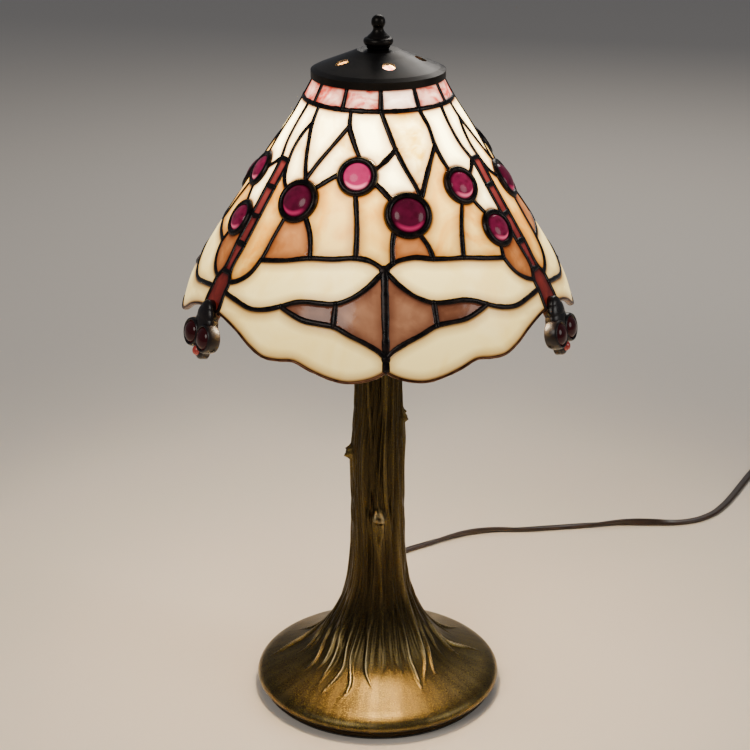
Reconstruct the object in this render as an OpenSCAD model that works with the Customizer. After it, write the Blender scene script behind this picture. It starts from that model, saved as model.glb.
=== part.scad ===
// Table lamp: a leaded glass shade on a bow over one bulb, on a cast tree-trunk foot.
// The lamp stands on the floor plane; the origin is on the floor under the trunk's axis.
// Azimuth 0 is the front (-Y) and grows towards +X. The shade's pattern repeats three times.

/* [Foot] */
// Radius of the round foot
foot_r = 83; // [82:0.5:86]
// Height of the cast trunk
trunk_top = 246; // [245:1:247]
// Radius of the felt pad
felt_r = 77; // [70:1:78]

/* [Rod and socket] */
// Radius of the threaded rod
rod_r = 5; // [4.8:0.1:5]
// Radius of the rod's bore
rod_bore_r = 3.3; // [3.2:0.1:3.6]
// Outer radius of the socket's metal shell
socket_r = 17.5; // [17:0.5:18]
// Radius of the bulb's screw cap
bulb_cap_r = 13; // [12.8:0.1:13]
// Radius of the bulb's round glass
bulb_r = 27; // [24:1:27]

/* [Bow] */
// Radius of the bow's wire
bow_wire_r = 2; // [1.5:0.1:2.2]
// Half width of the bow at its widest
bow_half = 44; // [42:1:46]

/* [Shade] */
// Thickness of the glass, measured level
glass_t = 2.6; // [2:0.1:3]
// Width of solder between two panes
lead_w = 3; // [2.4:0.1:3.4]
// How far the solder stands out from the glass
lead_proud = 0.7; // [0.4:0.1:1]
// Width of the solder round each jewel
jewel_rim = 3; // [2.5:0.1:3]
// Azimuth of the seam between the first two dragonflies
seam_az = 2; // [0:0.5:5]
// Radius of the metal cap over the shade
cap_r = 41.5; // [41:0.5:42.5]
// Number of vent holes in the cap
vent_count = 5; // [4:1:6]

/* [Cord] */
// Width of the twin flex, taken as a round of this diameter
cord_d = 6; // [5:0.5:6]
// Radius at the middle of the coil's turns
coil_r = 33; // [31:1:34]

/* [Hidden] */
$fn = 64;
deg = 180 / PI;

// Colours
bronze = [0.33, 0.26, 0.13];
dark_bronze = [0.07, 0.05, 0.04];
brass = [0.75, 0.6, 0.3];
steel = [0.7, 0.7, 0.72];
solder = [0.08, 0.06, 0.05];

// Heights of the stack on the rod
step_z = 9;
washer_z = 18.2;
saddle_z = trunk_top + 3;
lock_z = saddle_z + 1.5;
socket_z = lock_z + 4;
shell_z = socket_z + 15;
contact_z = socket_z + 36;
bulb_z = contact_z + 1.6;
globe_z = bulb_z + 64.5;
boss_z = 431.6;
seat_z = 436;
cap_z = 438.8;
finial_z = 440.3;
key_z = shell_z + 16;
key_y = 38;
lead_z = 7;

// Shade profile: [height, radius] of the outer glass surface
profile = [[262, 127], [278, 125], [298, 119], [322, 105], [411.5, 46], [424, 39.5]];
function rad(z) = lookup(z, profile);
function rise(z) = atan((rad(z - 0.5) - rad(z + 0.5)) / 1);
band_z = 411.5;
rim_z = 424;
axis_az = 60;
repeat = 120;
turns = [for (k = [0 : 2]) seam_az + repeat * k];

// Jewels: [azimuth, height, glass radius]
J1 = [-39.5, 362, 10];
J2 = [-12.5, 378, 8.5];
J3 = [10.5, 358, 10.5];
J4 = [40, 369.5, 8.5];
J5 = [50, 343.5, 8.5];

// Point k of the 16 round a jewel's solder rim, from +azimuth and turning up
function rim_point(j, k) =
    let (r = j[2] + jewel_rim, z = j.y + r * sin(22.5 * k) * cos(rise(j.y)))
    [j.x + r * cos(22.5 * k) / rad(z) * deg, z];
// The rim from point a to point b, against the clock when b > a
function rim(j, a, b) = [for (k = [0 : abs(b - a)]) rim_point(j, a + k * sign(b - a))];
// Points of the band's lower line from azimuth a to b
function line(a, b) = [for (k = [0 : abs(b - a) / 7.5]) [a + 7.5 * k * sign(b - a), band_z]];
function turned(p) = [p.x + repeat, p.y];
function reversed(list) = [for (k = [len(list) - 1 : -1 : 0]) list[k]];
function mirrored_x(list) = [for (p = list) [-p.x, p.y]];
function mirrored(list) = reversed(mirrored_x(list));
// Sides of a dragonfly's tail at height z: left side of this one, right side of the one before
tail_half = 4.5;
came_gap = 0.02;
foil_gap = 0.25;
collar_gap = 0.95;
// The lattice leans in behind the curved glass, so each collar narrows towards its back
collar_lean = 1;
function tail_l(z) = [axis_az - tail_half / rad(z) * deg, z];
function tail_r(z) = [tail_half / rad(z) * deg - axis_az, z];
tail_levels = [379.5, 364.5, 348.5, 332, 316];
tail_left = [for (z = tail_levels) tail_l(z)];
tail_right = [for (z = tail_levels) tail_r(z)];

// Named points of the pattern, [azimuth, height]
foot_a = [-52.5, band_z];
fork_a = [-51.5, 402];
lead_a = [[-55.5, 396], [-57.3, 388]];
lead_b = [[-47.5, 392], [-44, 383]];
foot_b = [-22.5, band_z];
fork_b = [-21.5, 403.5];
lead_c = [[-29.5, 392.5], [-36, 381.5]];
lead_c2 = [-17.5, 396];
foot_d = [0, band_z];
bend_d = [4.5, 401];
fork_d = [8, 391.5];
lead_d = [[12, 381.5], [15.5, 373]];
lead_e = [1.5, 385.5];
foot_f = [30, band_z];
bend_f = [33, 402];
fork_f = [33, 392];
lead_f = [[27, 384], [21.5, 374.5]];
lead_g = [34, 385.5];
foot_h = [52.5, band_z];
lead_h = [[51.5, 401], [52.5, 390]];
link_1 = [-54, 372.5];
link_2 = [-27.5, 374];
link_3 = [0, 370.5];
link_4 = [52, 376];
drop_1l = [-44.5, 341];
drop_1r = [-29, 346];
drop_2 = [-10.5, 352];
drop_3l = [3, 341.5];
drop_3r = [16.5, 341];
drop_4 = [32.5, 349];
// Wing tops, left to right, with the feet of the drops
w1 = [-46, 328];
w2 = [-26.5, 334];
w3 = [-10, 336];
star = [0, 330];
w4 = [3, 333.5];
w5 = [17.5, 334.5];
w6 = [29, 333];
w7 = [46, 328];
top_l = [[-5, 334.8], w3, [-18, 334.8], w2, [-36, 330.8], w1];
top_r = [w7, [37.5, 330.5], w6, [23, 333.8], w5, [10, 336], w4];
// Outer end of an upper wing, from the wing top down to its root
wing_end = [[48.5, 319.5], [52, 314.5], [56, 311.5]];
root = [56, 306];
// Line between the upper and lower wing, from the root to the fork, then to the bar pane
between = [[50, 304.5], [42.5, 302.8], [37, 304.5]];
fork_w = [32.5, 307.5];
bar_top = [[28, 310.8], [24.5, 312], [20, 312]];
bar_up = [15, 312.5];
bar_bottom = [[29, 305], [24, 302.2], [19, 301.5]];
bar_down = [15, 300.7];
diamond_top = [[10, 316], [5, 322]];
diamond_bottom = [[10, 296.5], [5, 292], [1.5, 287.5]];
tip = [0, 284];
hem_mid = [0, 277];
hem = [[2, 274.5], [6, 271.5], [11, 270.3], [15, 271.8], [20.5, 275.5], [26, 279.5], [30.5, 278.5],
       [35, 278.5], [40, 282.5], [45.5, 288.5], [51, 292.5], [56, 294.5]];
chin = [57.5, 287.5];

// Outlines of the panes in one repeat, against the clock as seen from outside
crown = [
    [foot_a, fork_a, each lead_b, rim_point(J1, 4), each reversed(lead_c), fork_b,
     each line(-22.5, -45)],
    [foot_b, fork_b, lead_c2, each rim(J2, 4, 1), lead_e, fork_d, bend_d, each line(0, -15)],
    [foot_d, bend_d, fork_d, each lead_d, rim_point(J3, 2), each reversed(lead_f), fork_f, bend_f,
     each line(30, 7.5)],
    [foot_f, bend_f, fork_f, lead_g, each rim(J4, 5, 1), link_4, tail_left[0],
     each reversed(lead_h), each line(52.5, 37.5)],
    [foot_h, each lead_h, tail_left[0], turned(tail_right[0]), turned(lead_a[1]), turned(lead_a[0]),
     turned(fork_a), turned(foot_a), [60, band_z]]];
shoulder = [
    [fork_a, each lead_a, tail_right[0], link_1, each rim(J1, 7, 4), each reversed(lead_b)],
    [fork_b, each lead_c, each rim(J1, 4, 2), link_2, each rim(J2, 8, 4), lead_c2],
    [fork_d, lead_e, each rim(J2, 1, -1), link_3, each rim(J3, 6, 2), each reversed(lead_d)],
    [tail_left[0], link_4, each rim(J4, 1, -3), each rim(J5, 5, 2), tail_left[2], tail_left[1]]];
skirt = [
    [fork_f, each lead_f, each rim(J3, 2, -3), drop_3r, w5, [23, 333.8], w6, drop_4,
     each rim(J4, 11, 5), lead_g],
    [drop_4, w6, [37.5, 330.5], w7, each rim(J5, 11, 5), each rim(J4, 13, 11)],
    [drop_2, w3, [-5, 334.8], star, w4, drop_3l, each rim(J3, 10, 6), link_3, each rim(J2, 15, 12)],
    [each rim(J1, 2, -2), drop_1r, w2, [-18, 334.8], w3, drop_2, each rim(J2, 12, 8), link_2],
    [each tail_right, [-56, 311.5], [-52, 314.5], [-48.5, 319.5], w1, drop_1l,
     each rim(J1, 11, 7), link_1]];
amber = [
    [w7, each wing_end, tail_left[4], tail_left[3], tail_l(338), each rim(J5, 14, 11)],
    [drop_3l, w4, [10, 336], w5, drop_3r, each rim(J3, 13, 10)],
    [drop_1l, w1, [-36, 330.8], w2, drop_1r, each rim(J1, 14, 11)]];
wing_low = [each reversed(diamond_top), bar_up, each reversed(bar_top), fork_w, each reversed(between)];
uppers = [
    [star, each wing_low, root, each reversed(wing_end), each top_r],
    [star, each top_l, each mirrored_x(wing_end), [-56, 306], each mirrored(wing_low)]];
lower_wing = [hem_mid, each hem, root, each between, fork_w, each bar_bottom, bar_down,
              each diamond_bottom, tip];
diamond = [star, [0, 307], tip, each reversed(diamond_bottom), bar_down, bar_up, each diamond_top];
bar = [bar_up, bar_down, each reversed(bar_bottom), fork_w, each bar_top];
tail = [for (k = [0 : 3]) [tail_left[k], tail_left[k + 1], turned(tail_right[k + 1]),
                           turned(tail_right[k])]];
thorax = [tail_left[4], [56, 311.5], root, [56, 294.5], chin, [62.5, 287.5], [64, 294.5], [64, 306],
          [64, 311.5], turned(tail_right[4])];
band = [for (a = [-60, -30, 0, 30]) [[a, rim_z], each [for (k = [0 : 4]) [a + 7.5 * k, band_z]],
        each [for (k = [4 : -1 : 1]) [a + 7.5 * k, rim_z]]]];
lowers = [lower_wing, mirrored(lower_wing)];
diamonds = [diamond, mirrored(diamond)];
bars = [bar, mirrored(bar)];
all_panes = [each crown, each shoulder, each skirt, each amber, each uppers, each lowers,
             each diamonds, each bars, each tail, thorax, each band];

// Free flex: its route on the floor from the gland to the coil, then from the coil to the plug
route = [[0, 103.5, 7], [0, 110, 6.8], [0, 118, 5.6], [0.5, 127, 4.2], [1, 137, 3.2], [2, 150, 3],
         [5, 165, 3], [11, 180, 3], [22, 193, 3], [38, 204, 3], [56, 215, 3], [75, 224, 3],
         [95, 229, 3], [118, 231, 3], [145, 235, 3], [172, 239, 3], [200, 242, 3], [225, 243, 3],
         [245, 244, 3], [262, 249, 3], [277, 260, 3], [290, 277, 3], [301, 296, 3], [312, 317, 3],
         [323, 338, 3], [333, 356, 3], [341, 370, 3], [345, 380, 3]];
tail_route = [[420, 388, 8], [422, 378, 7], [422.5, 368, 7], [422.5, 358, 7]];
coil_at = [384, 386];
coil_half = 7;
coil_h = 13;
plug_y = 358;
plug_x = 422.5;

// A point on the shade at azimuth, height and distance out from the glass
function on_shade(p, out) =
    let (r = rad(p.y) + out)
    [r * sin(p.x), -r * cos(p.x), p.y];
function middle(pts) = [sum([for (p = pts) p.x]) / len(pts), sum([for (p = pts) p.y]) / len(pts)];
function sum(v, k = 0) = k < len(v) ? v[k] + sum(v, k + 1) : 0;
function unit(v) = v / norm(v);
// Outline moved inwards by d, with mitred corners, in millimetres on the glass
function inset(pts, d) =
    let (n = len(pts), c = middle(pts), sx = rad(c.y) / deg, sy = 1 / cos(rise(c.y)),
         q = [for (p = pts) [p.x * sx, p.y * sy]])
    [for (i = [0 : n - 1])
        let (u = unit(q[i] - q[(i + n - 1) % n]), v = unit(q[(i + 1) % n] - q[i]),
             a = [-u.y, u.x], b = [-v.y, v.x], m = q[i] + (a + b) * d / max(0.05, 1 + a * b))
        [m.x / sx, m.y / sy]];

// The outlines of a list of panes, in all three repeats
function repeated(list) = [for (turn = turns, pts = list) [for (p = pts) [p.x + turn, p.y]]];
// Where each entry's own points begin when the entries are put end to end
function starts(counts) = [for (k = 0, at = 0; k < len(counts); at = at + counts[k], k = k + 1) at];

// Panes of bent glass: each is a fan about its middle, outside and inside, with its edge
module panes(list) {
    outlines = [for (pts = repeated(list)) inset(pts, lead_w / 2 + foil_gap)];
    first = starts([for (pts = outlines) 2 * len(pts) + 2]);
    polyhedron(
        points = [for (pts = outlines) let (c = middle(pts))
                  each [for (p = pts) on_shade(p, 0), for (p = pts) on_shade(p, -glass_t),
                        on_shade(c, 0), on_shade(c, -glass_t)]],
        faces = [for (k = [0 : len(outlines) - 1]) let (n = len(outlines[k]), f = first[k])
                 for (i = [0 : n - 1]) let (j = (i + 1) % n, o = f + n, c = f + 2 * n)
                 each [[c, f + j, f + i], [c + 1, o + i, o + j],
                       [f + i, f + j, o + j], [f + i, o + j, o + i]]]);
}
// Frames of foil and solder, one round each pane, with a hair's gap between neighbours
module cames(list) {
    outlines = repeated(list);
    first = starts([for (pts = outlines) 4 * len(pts)]);
    high = lead_proud;
    low = -glass_t - lead_proud;
    polyhedron(
        points = [for (pts = outlines) let (outer = inset(pts, came_gap), inner = inset(pts, lead_w / 2))
                  each [for (p = outer) on_shade(p, high), for (p = outer) on_shade(p, low),
                        for (p = inner) on_shade(p, high), for (p = inner) on_shade(p, low)]],
        faces = [for (k = [0 : len(outlines) - 1]) let (n = len(outlines[k]), f = first[k])
                 for (i = [0 : n - 1]) let (j = (i + 1) % n, b = f + n, c = f + 2 * n, d = f + 3 * n)
                 each [[c + i, c + j, f + j], [c + i, f + j, f + i],
                       [b + i, b + j, d + j], [b + i, d + j, d + i],
                       [f + i, f + j, b + j], [f + i, b + j, b + i],
                       [c + j, c + i, d + i], [c + j, d + i, d + j]]]);
}
// Moves children to a point on the shade, +Z out of the glass and +Y up the slope
module on_glass(az, z, out = 0) {
    rotate([0, 0, az]) translate([0, -rad(z), z]) rotate([90 - rise(z), 0, 0])
        translate([0, 0, out]) children();
}
module cabochon(r, depth, dome) {
    ball = (r * r + dome * dome) / (2 * dome);
    translate([0, 0, -depth]) cylinder(h = depth, r = r);
    intersection() {
        translate([0, 0, dome - ball]) sphere(r = ball);
        cylinder(h = dome + 1, r = r);
    }
}
module ring(z, h, r_out, r_in) {
    translate([0, 0, z]) difference() {
        cylinder(h = h, r = r_out);
        translate([0, 0, -1]) cylinder(h = h + 2, r = r_in);
    }
}
module hex_nut(z, h, flats, r_in) {
    translate([0, 0, z]) difference() {
        cylinder(h = h, r = flats / sqrt(3), $fn = 6);
        translate([0, 0, -1]) cylinder(h = h + 2, r = r_in);
    }
}
// A tube along a route: one ring of sides at each point, square to the way it goes
module tube(pts, r, sides) {
    n = len(pts);
    rings = [for (i = [0 : n - 1])
        let (t = unit(pts[min(i + 1, n - 1)] - pts[max(i - 1, 0)]),
             side = unit(cross(t, abs(t.z) > 0.9 ? [0, 1, 0] : [0, 0, 1])), up = cross(side, t))
        each [for (k = [0 : sides - 1])
              pts[i] + r * (side * cos(360 * k / sides) + up * sin(360 * k / sides))]];
    polyhedron(
        points = rings,
        faces = [[for (k = [0 : sides - 1]) k],
                 for (i = [0 : n - 2], k = [0 : sides - 1]) let (a = i * sides + k,
                      b = i * sides + (k + 1) % sides) each [[a, a + sides, b], [b, a + sides, b + sides]],
                 [for (k = [sides - 1 : -1 : 0]) (n - 1) * sides + k]]);
}

// Foot and trunk: one hollow casting with three knots
trunk_outside = [[foot_r - 4, 2], [foot_r - 4, 6], [foot_r - 1.5, 7], [foot_r, 9], [foot_r, 14],
                 [foot_r - 2, 17], [foot_r - 6, 18], [foot_r - 11, 15.5], [66, 17.5], [56, 24], [46, 31],
                 [37, 41], [30.5, 52], [25.5, 64], [20.5, 81], [18.6, 100], [17.7, 130], [17.5, 180],
                 [16, 205], [15.7, 227], [16, trunk_top]];
trunk_inside = [[rod_r + 0.3, trunk_top], [rod_r + 0.3, trunk_top - 4], [12, trunk_top - 4], [12.4, 205],
                [14, 180], [14, 130], [15, 100], [17, 81], [21.5, 64], [26.5, 52], [33, 41], [42, 31],
                [52, 22], [60, 15], [60, step_z], [73.5, step_z], [73.5, 2]];
// Stub of a cut branch at an azimuth and height
module knot(az, z) {
    rotate([0, 0, az]) translate([0, -15, z]) rotate([90, 0, 0]) cylinder(h = 4.6, r1 = 4.6, r2 = 3.2);
}
module trunk_casting() {
    color(bronze) difference() {
        union() {
            rotate_extrude() polygon(concat(trunk_outside, trunk_inside));
            knot(0, 132);
            knot(-90, 173);
            knot(90, 199);
        }
        translate([0, 56, lead_z]) rotate([-90, 0, 0]) cylinder(h = 44, r = 4.2);
    }
}
weight_r = 73;
module base_weight() {
    color([0.2, 0.2, 0.2]) difference() {
        union() {
            translate([0, 0, 3.5]) cylinder(h = step_z - 3.5, r = weight_r);
            translate([0, 0, step_z]) cylinder(h = 15, r = 24);
        }
        translate([0, 0, 0]) cylinder(h = 20, r = 15);
        cylinder(h = 40, r = rod_r + 0.3);
        translate([-5, 0, 0]) cube([10, 80, lead_z + 5]);
    }
}
module felt_pad() {
    color([0.05, 0.05, 0.05]) cylinder(h = 2, r = felt_r);
}
module threaded_rod() {
    color(brass) ring(11, socket_z + 7 - 11, rod_r, rod_bore_r);
}
module rod_washer() {
    color(steel) ring(washer_z, 1.8, 11, rod_r);
}
module rod_nut() {
    color(steel) hex_nut(washer_z - 6, 6, 16, rod_r);
}
// Bushing in the foot's skirt with a tapered strain relief outside it
module cord_gland() {
    color([0.1, 0.07, 0.05]) translate([0, 0, lead_z]) rotate([-90, 0, 0]) rotate_extrude()
        polygon([[3, 74], [4, 74], [4, 83.4], [5.2, 83.4], [5.2, 85], [4.9, 86], [3.7, 103.5], [3, 103.5]]);
}
// The flex inside the foot and the rod, up to the socket's terminals
module inner_lead() {
    color([0.2, 0.12, 0.07])
        tube([[0, 103.5, lead_z], [0, 80, lead_z], [0, 40, lead_z], [0, 16, lead_z], [0, 9, 6.2], [0, 4.5, 5.9],
              [0, 1.4, 7.2], [0, 0.2, 9.6], [0, 0, 13], [0, 0, 120], [0, 0, socket_z + 12]], 2.8, 8);
}
module check_ring() {
    color(dark_bronze) rotate_extrude()
        polygon([[rod_r + 0.2, trunk_top], [15, trunk_top], [15, trunk_top + 1.5], [12, trunk_top + 3],
                 [rod_r + 0.2, trunk_top + 3]]);
}
// Bow: saddle, wire, locking sleeves and top boss
saddle_half = 24;
module bow_saddle() {
    color(brass) difference() {
        union() {
            translate([-saddle_half, -6, saddle_z]) cube([2 * saddle_half, 12, 1.5]);
            for (s = [-1, 1]) translate([s * saddle_half, 0, saddle_z]) cylinder(h = 9, r = 2.6);
        }
        translate([0, 0, saddle_z - 1]) cylinder(h = 4, r = rod_r + 0.2);
    }
}
module lock_nut() {
    color(steel) hex_nut(lock_z, 4, 16, rod_r);
}
bow_route = [[saddle_half, saddle_z + 9], [saddle_half, 268], [27, 280], [33, 295], [39, 312],
             [bow_half - 1.5, 329], [bow_half, 346], [bow_half - 0.5, 362], [bow_half - 3, 378],
             [36, 393], [29, 407], [21, 419], [13, 428], [5.5, 433]];
module bow_wire() {
    color(brass) for (s = [-1, 1]) tube([for (p = bow_route) [s * p.x, 0, p.y]], bow_wire_r, 8);
}
module bow_sleeves() {
    color(brass) for (s = [-1, 1]) translate([s * saddle_half, 0, 0])
        ring(saddle_z + 1.5, 16, 3.6, 2.6);
}
module bow_boss() {
    color(brass) ring(boss_z, 4.2, 6, 2.7);
}
// Socket: cap, shell, liner, core and contacts
module socket_cap() {
    color(brass) difference() {
        rotate_extrude()
            polygon([[rod_r, socket_z], [7.5, socket_z], [7.5, socket_z + 7], [socket_r - 4, socket_z + 8.5],
                     [socket_r + 0.6, socket_z + 13], [socket_r + 0.6, shell_z + 5], [socket_r, shell_z + 5],
                     [socket_r, socket_z + 13.5], [socket_r - 4.5, socket_z + 9.5], [rod_r, socket_z + 8.2]]);
        translate([0, -12, socket_z + 3.5]) rotate([-90, 0, 0]) cylinder(h = 8, r = 1.5);
    }
}
module cap_set_screw() {
    color(steel) translate([0, -9.4, socket_z + 3.5]) rotate([-90, 0, 0]) cylinder(h = 4.3, r = 1.5);
}
module socket_shell() {
    color(brass) difference() {
        ring(shell_z, 48, socket_r, socket_r - 0.6);
        translate([0, 10, key_z]) rotate([-90, 0, 0]) cylinder(h = 10, r = 2.6);
    }
}
module shell_liner() {
    color([0.6, 0.5, 0.35]) difference() {
        ring(shell_z, 47, socket_r - 0.6, socket_r - 1.6);
        translate([0, 10, key_z]) rotate([-90, 0, 0]) cylinder(h = 10, r = 2.6);
    }
}
module socket_core() {
    color([0.15, 0.13, 0.12]) difference() {
        translate([0, 0, shell_z + 3]) cylinder(h = contact_z - shell_z - 4.5, r = socket_r - 1.6);
        translate([0, -1, key_z]) rotate([-90, 0, 0]) cylinder(h = 30, r = 2.2);
        for (s = [-1, 1]) translate([s * 9, 0, 0]) cylinder(h = contact_z, r = 2);
    }
}
module screw_shell() {
    color(brass) ring(contact_z - 1.5, 26, bulb_cap_r + 0.8, bulb_cap_r + 0.3);
}
module centre_contact() {
    color(brass) translate([0, 0, contact_z - 1.5]) cylinder(h = 2.6, r = 4);
}
module terminal_screws() {
    color(brass) for (s = [-1, 1]) translate([s * 9, 0, shell_z + 1.2]) {
        cylinder(h = 1.8, r = 3);
        cylinder(h = 9, r = 2);
    }
}
// Turn key on the socket's side
module switch_key() {
    color([0.08, 0.06, 0.05]) translate([0, key_y - 10, key_z]) rotate([-90, 0, 0]) difference() {
        union() {
            cylinder(h = 4, r = 4);
            intersection() {
                translate([-2, -8, 3]) cube([4, 16, 11]);
                translate([-5, 0, 4]) rotate([0, 90, 0]) cylinder(h = 10, r = 9);
            }
        }
        translate([0, 0, -1]) cylinder(h = 4, r = 1.8);
    }
}
module key_stem() {
    color(brass) translate([0, 3, key_z]) rotate([-90, 0, 0]) cylinder(h = key_y - 10, r = 1.8);
}
// Bulb: hollow glass, screw cap, tip, stem and filament
neck_r = 12;
function globe(r, from, to, steps) =
    [for (k = [0 : steps]) let (a = from + (to - from) * k / steps) [r * cos(a), globe_z + r * sin(a)]];
module bulb_glass() {
    neck_z = bulb_z + 25.4;
    color([1, 0.95, 0.85, 0.5]) rotate_extrude() polygon([
        [neck_r - 0.8, neck_z], [neck_r, neck_z], [neck_r + 0.5, neck_z + 6],
        each globe(bulb_r, -50, 88, 12), [0, globe_z + bulb_r], [0, globe_z + bulb_r - 0.8],
        each globe(bulb_r - 0.8, 88, -50, 12), [neck_r - 0.3, neck_z + 6]]);
}
module bulb_cap() {
    color(steel) rotate_extrude()
        polygon([[4.4, bulb_z + 1.4], [5, bulb_z + 1.4], [bulb_cap_r - 1, bulb_z + 4],
                 [bulb_cap_r, bulb_z + 5], [bulb_cap_r, bulb_z + 25.4], [bulb_cap_r - 1, bulb_z + 26],
                 [neck_r, bulb_z + 26], [neck_r, bulb_z + 25.4], [neck_r, bulb_z + 6], [4.4, bulb_z + 3]]);
}
module bulb_tip() {
    color(steel) translate([0, 0, bulb_z]) cylinder(h = 2.2, r = 4.4);
}
module bulb_stem() {
    color([0.9, 0.95, 0.95]) translate([0, 0, bulb_z + 2.2]) {
        cylinder(h = 42, r = 3);
        for (s = [-1, 1]) translate([s * 2, 0, 42]) rotate([0, s * 25, 0]) cylinder(h = 14, r = 0.5);
    }
}
module filament() {
    color([1, 0.8, 0.4]) translate([0, 0, bulb_z + 57.4]) rotate_extrude() translate([8, 0]) circle(r = 0.6);
}
// Stud that turns in the bow's boss, with the disc that the shade's cap rests on
module shade_stud() {
    color(brass) {
        translate([0, 0, boss_z - 2]) cylinder(h = 1.8, r = 4.4);
        translate([0, 0, boss_z - 1]) cylinder(h = finial_z + 8 - boss_z, r = 2.5);
    }
}
module seat_disc() {
    color(brass) ring(seat_z, cap_z - seat_z, 9, 2.5);
}
// Cap over the shade, a turned dish with vent holes
cap_outside = [[3, cap_z + 1.5], [13, cap_z + 1.2], [20, cap_z - 1.8], [30, cap_z - 5.8], [38, cap_z - 9],
               [cap_r, cap_z - 10.8], [cap_r, cap_z - 15.3]];
module heat_cap() {
    color(dark_bronze) difference() {
        rotate_extrude() polygon(concat(cap_outside,
            [[cap_r - 1.2, cap_z - 15.3], [cap_r - 1.2, cap_z - 11.6], [37.6, cap_z - 10.2],
             [29.6, cap_z - 7.1], [19.6, cap_z - 3.1], [12.6, cap_z], [3, cap_z]]));
        for (k = [0 : vent_count - 1]) rotate([0, 0, 14 + 360 / vent_count * k])
            translate([0, -26, cap_z - 4.2]) rotate([21, 0, 0])
                translate([0, 0, -6]) cylinder(h = 12, r = 4);
    }
}
// Brass ring that holds the shade's top edge inside the cap
module top_ring() {
    color(brass) ring(rim_z + 0.8, 2, cap_r - 1.4, 36.5);
}
module solder_lattice() { color(solder) cames(all_panes); }
// Round collars of solder that hold the jewels
module jewel_collars() {
    color(solder) for (turn = turns, j = [J1, J2, J3, J4, J5])
        rotate([0, 0, turn]) on_glass(j.x, j.y) let (r = j[2] + jewel_rim - collar_gap)
            rotate_extrude() polygon([[j[2], -glass_t], [r - collar_lean, -glass_t], [r, 0], [r, 1.2], [j[2], 1.2]]);
}
module band_glass() { color([0.95, 0.6, 0.55]) panes(band); }
module crown_glass() { color([1, 0.95, 0.85]) panes(crown); }
module shoulder_glass() { color([1, 0.9, 0.75]) panes(shoulder); }
module skirt_glass() { color([0.95, 0.82, 0.65]) panes(skirt); }
module amber_glass() { color([0.85, 0.6, 0.4]) panes(amber); }
module upper_wings() { color([0.95, 0.95, 0.88]) panes(uppers); }
module lower_wings() { color([0.95, 0.93, 0.85]) panes(lowers); }
module diamond_glass() { color([0.7, 0.5, 0.42]) panes(diamonds); }
module bar_glass() { color([0.72, 0.5, 0.42]) panes(bars); }
module tail_glass() { color([0.75, 0.3, 0.28]) panes(tail); }
module thorax_glass() { color([0.4, 0.12, 0.1]) panes([thorax]); }
module jewels(list) {
    color([0.6, 0.1, 0.3]) for (turn = turns, j = list)
        rotate([0, 0, turn]) on_glass(j.x, j.y) cabochon(j[2], glass_t * 0.8, j[2] * 0.45);
}
module large_jewels() { jewels([J1, J3]); }
module small_jewels() { jewels([J2, J4, J5]); }
// Dragonfly heads: solder cups below the hem with two round eyes and a bead
head_z = 276;
eye_x = 7.6;
eye_r = 6.2;
module at_heads() {
    for (turn = turns) on_glass(axis_az + turn, head_z) children();
}
module head_solder() {
    color(solder) at_heads() difference() {
        union() {
            for (s = [-1, 1]) translate([s * eye_x, 0, -4]) cylinder(h = 7, r = 8);
            translate([0, 7.4, -3.3]) cylinder(h = 5, r = 3.6);
            translate([0, -8.5, -3.3]) cylinder(h = 5.6, r = 4.6);
        }
        for (s = [-1, 1]) translate([s * eye_x, 0, -2]) cylinder(h = 7, r = eye_r);
        translate([0, -8.5, -1]) cylinder(h = 6, r = 2.8);
    }
}
module eye_jewels() {
    color([0.25, 0.03, 0.05]) at_heads() for (s = [-1, 1]) translate([s * eye_x, 0, 2])
        cabochon(eye_r, 4, 4.2);
}
module mouth_beads() {
    color([0.5, 0.05, 0.08]) at_heads() translate([0, -8.5, 1.5]) cabochon(2.8, 2.5, 2.4);
}
// Turned finial, bored for the stud
module finial() {
    color(dark_bronze) rotate_extrude() polygon([
        [2.8, finial_z], [6.5, finial_z], [7.6, finial_z + 1.6], [9.2, finial_z + 3.6],
        [9.2, finial_z + 5.6], [6.4, finial_z + 7.8], [3.6, finial_z + 10.4], [3.2, finial_z + 12.2],
        each [for (a = [-50 : 20 : 90]) [4.2 * cos(a), finial_z + 16.5 + 4.2 * sin(a)]],
        [0, finial_z + 10], [2.8, finial_z + 9]]);
}
// Free flex, its coil and its plug
module cord() {
    color([0.2, 0.12, 0.07]) tube(route, cord_d / 2, 8);
}
module cord_coil() {
    color([0.2, 0.12, 0.07]) translate([coil_at.x, coil_at.y, 0]) rotate_extrude()
        translate([coil_r - coil_half, 0]) polygon([[0, 2], [2, 0], [2 * coil_half - 2, 0],
            [2 * coil_half, 2], [2 * coil_half, coil_h - 2], [2 * coil_half - 2, coil_h],
            [2, coil_h], [0, coil_h - 2]]);
}
module cord_tail() {
    color([0.2, 0.12, 0.07]) tube(tail_route, cord_d / 2, 8);
}
module plug_body() {
    color([0.15, 0.09, 0.06]) translate([plug_x, plug_y, 0]) rotate([90, 0, 0]) {
        translate([0, 7, 0]) cylinder(h = 12, r1 = 4.2, r2 = 6.5);
        translate([-11, 0.5, 12]) cube([22, 13, 18]);
    }
}
module plug_blades() {
    color(brass) for (s = [-1, 1]) translate([plug_x + s * 6.35 - 0.75, plug_y - 47, 4]) cube([1.5, 17, 6.3]);
}

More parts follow.
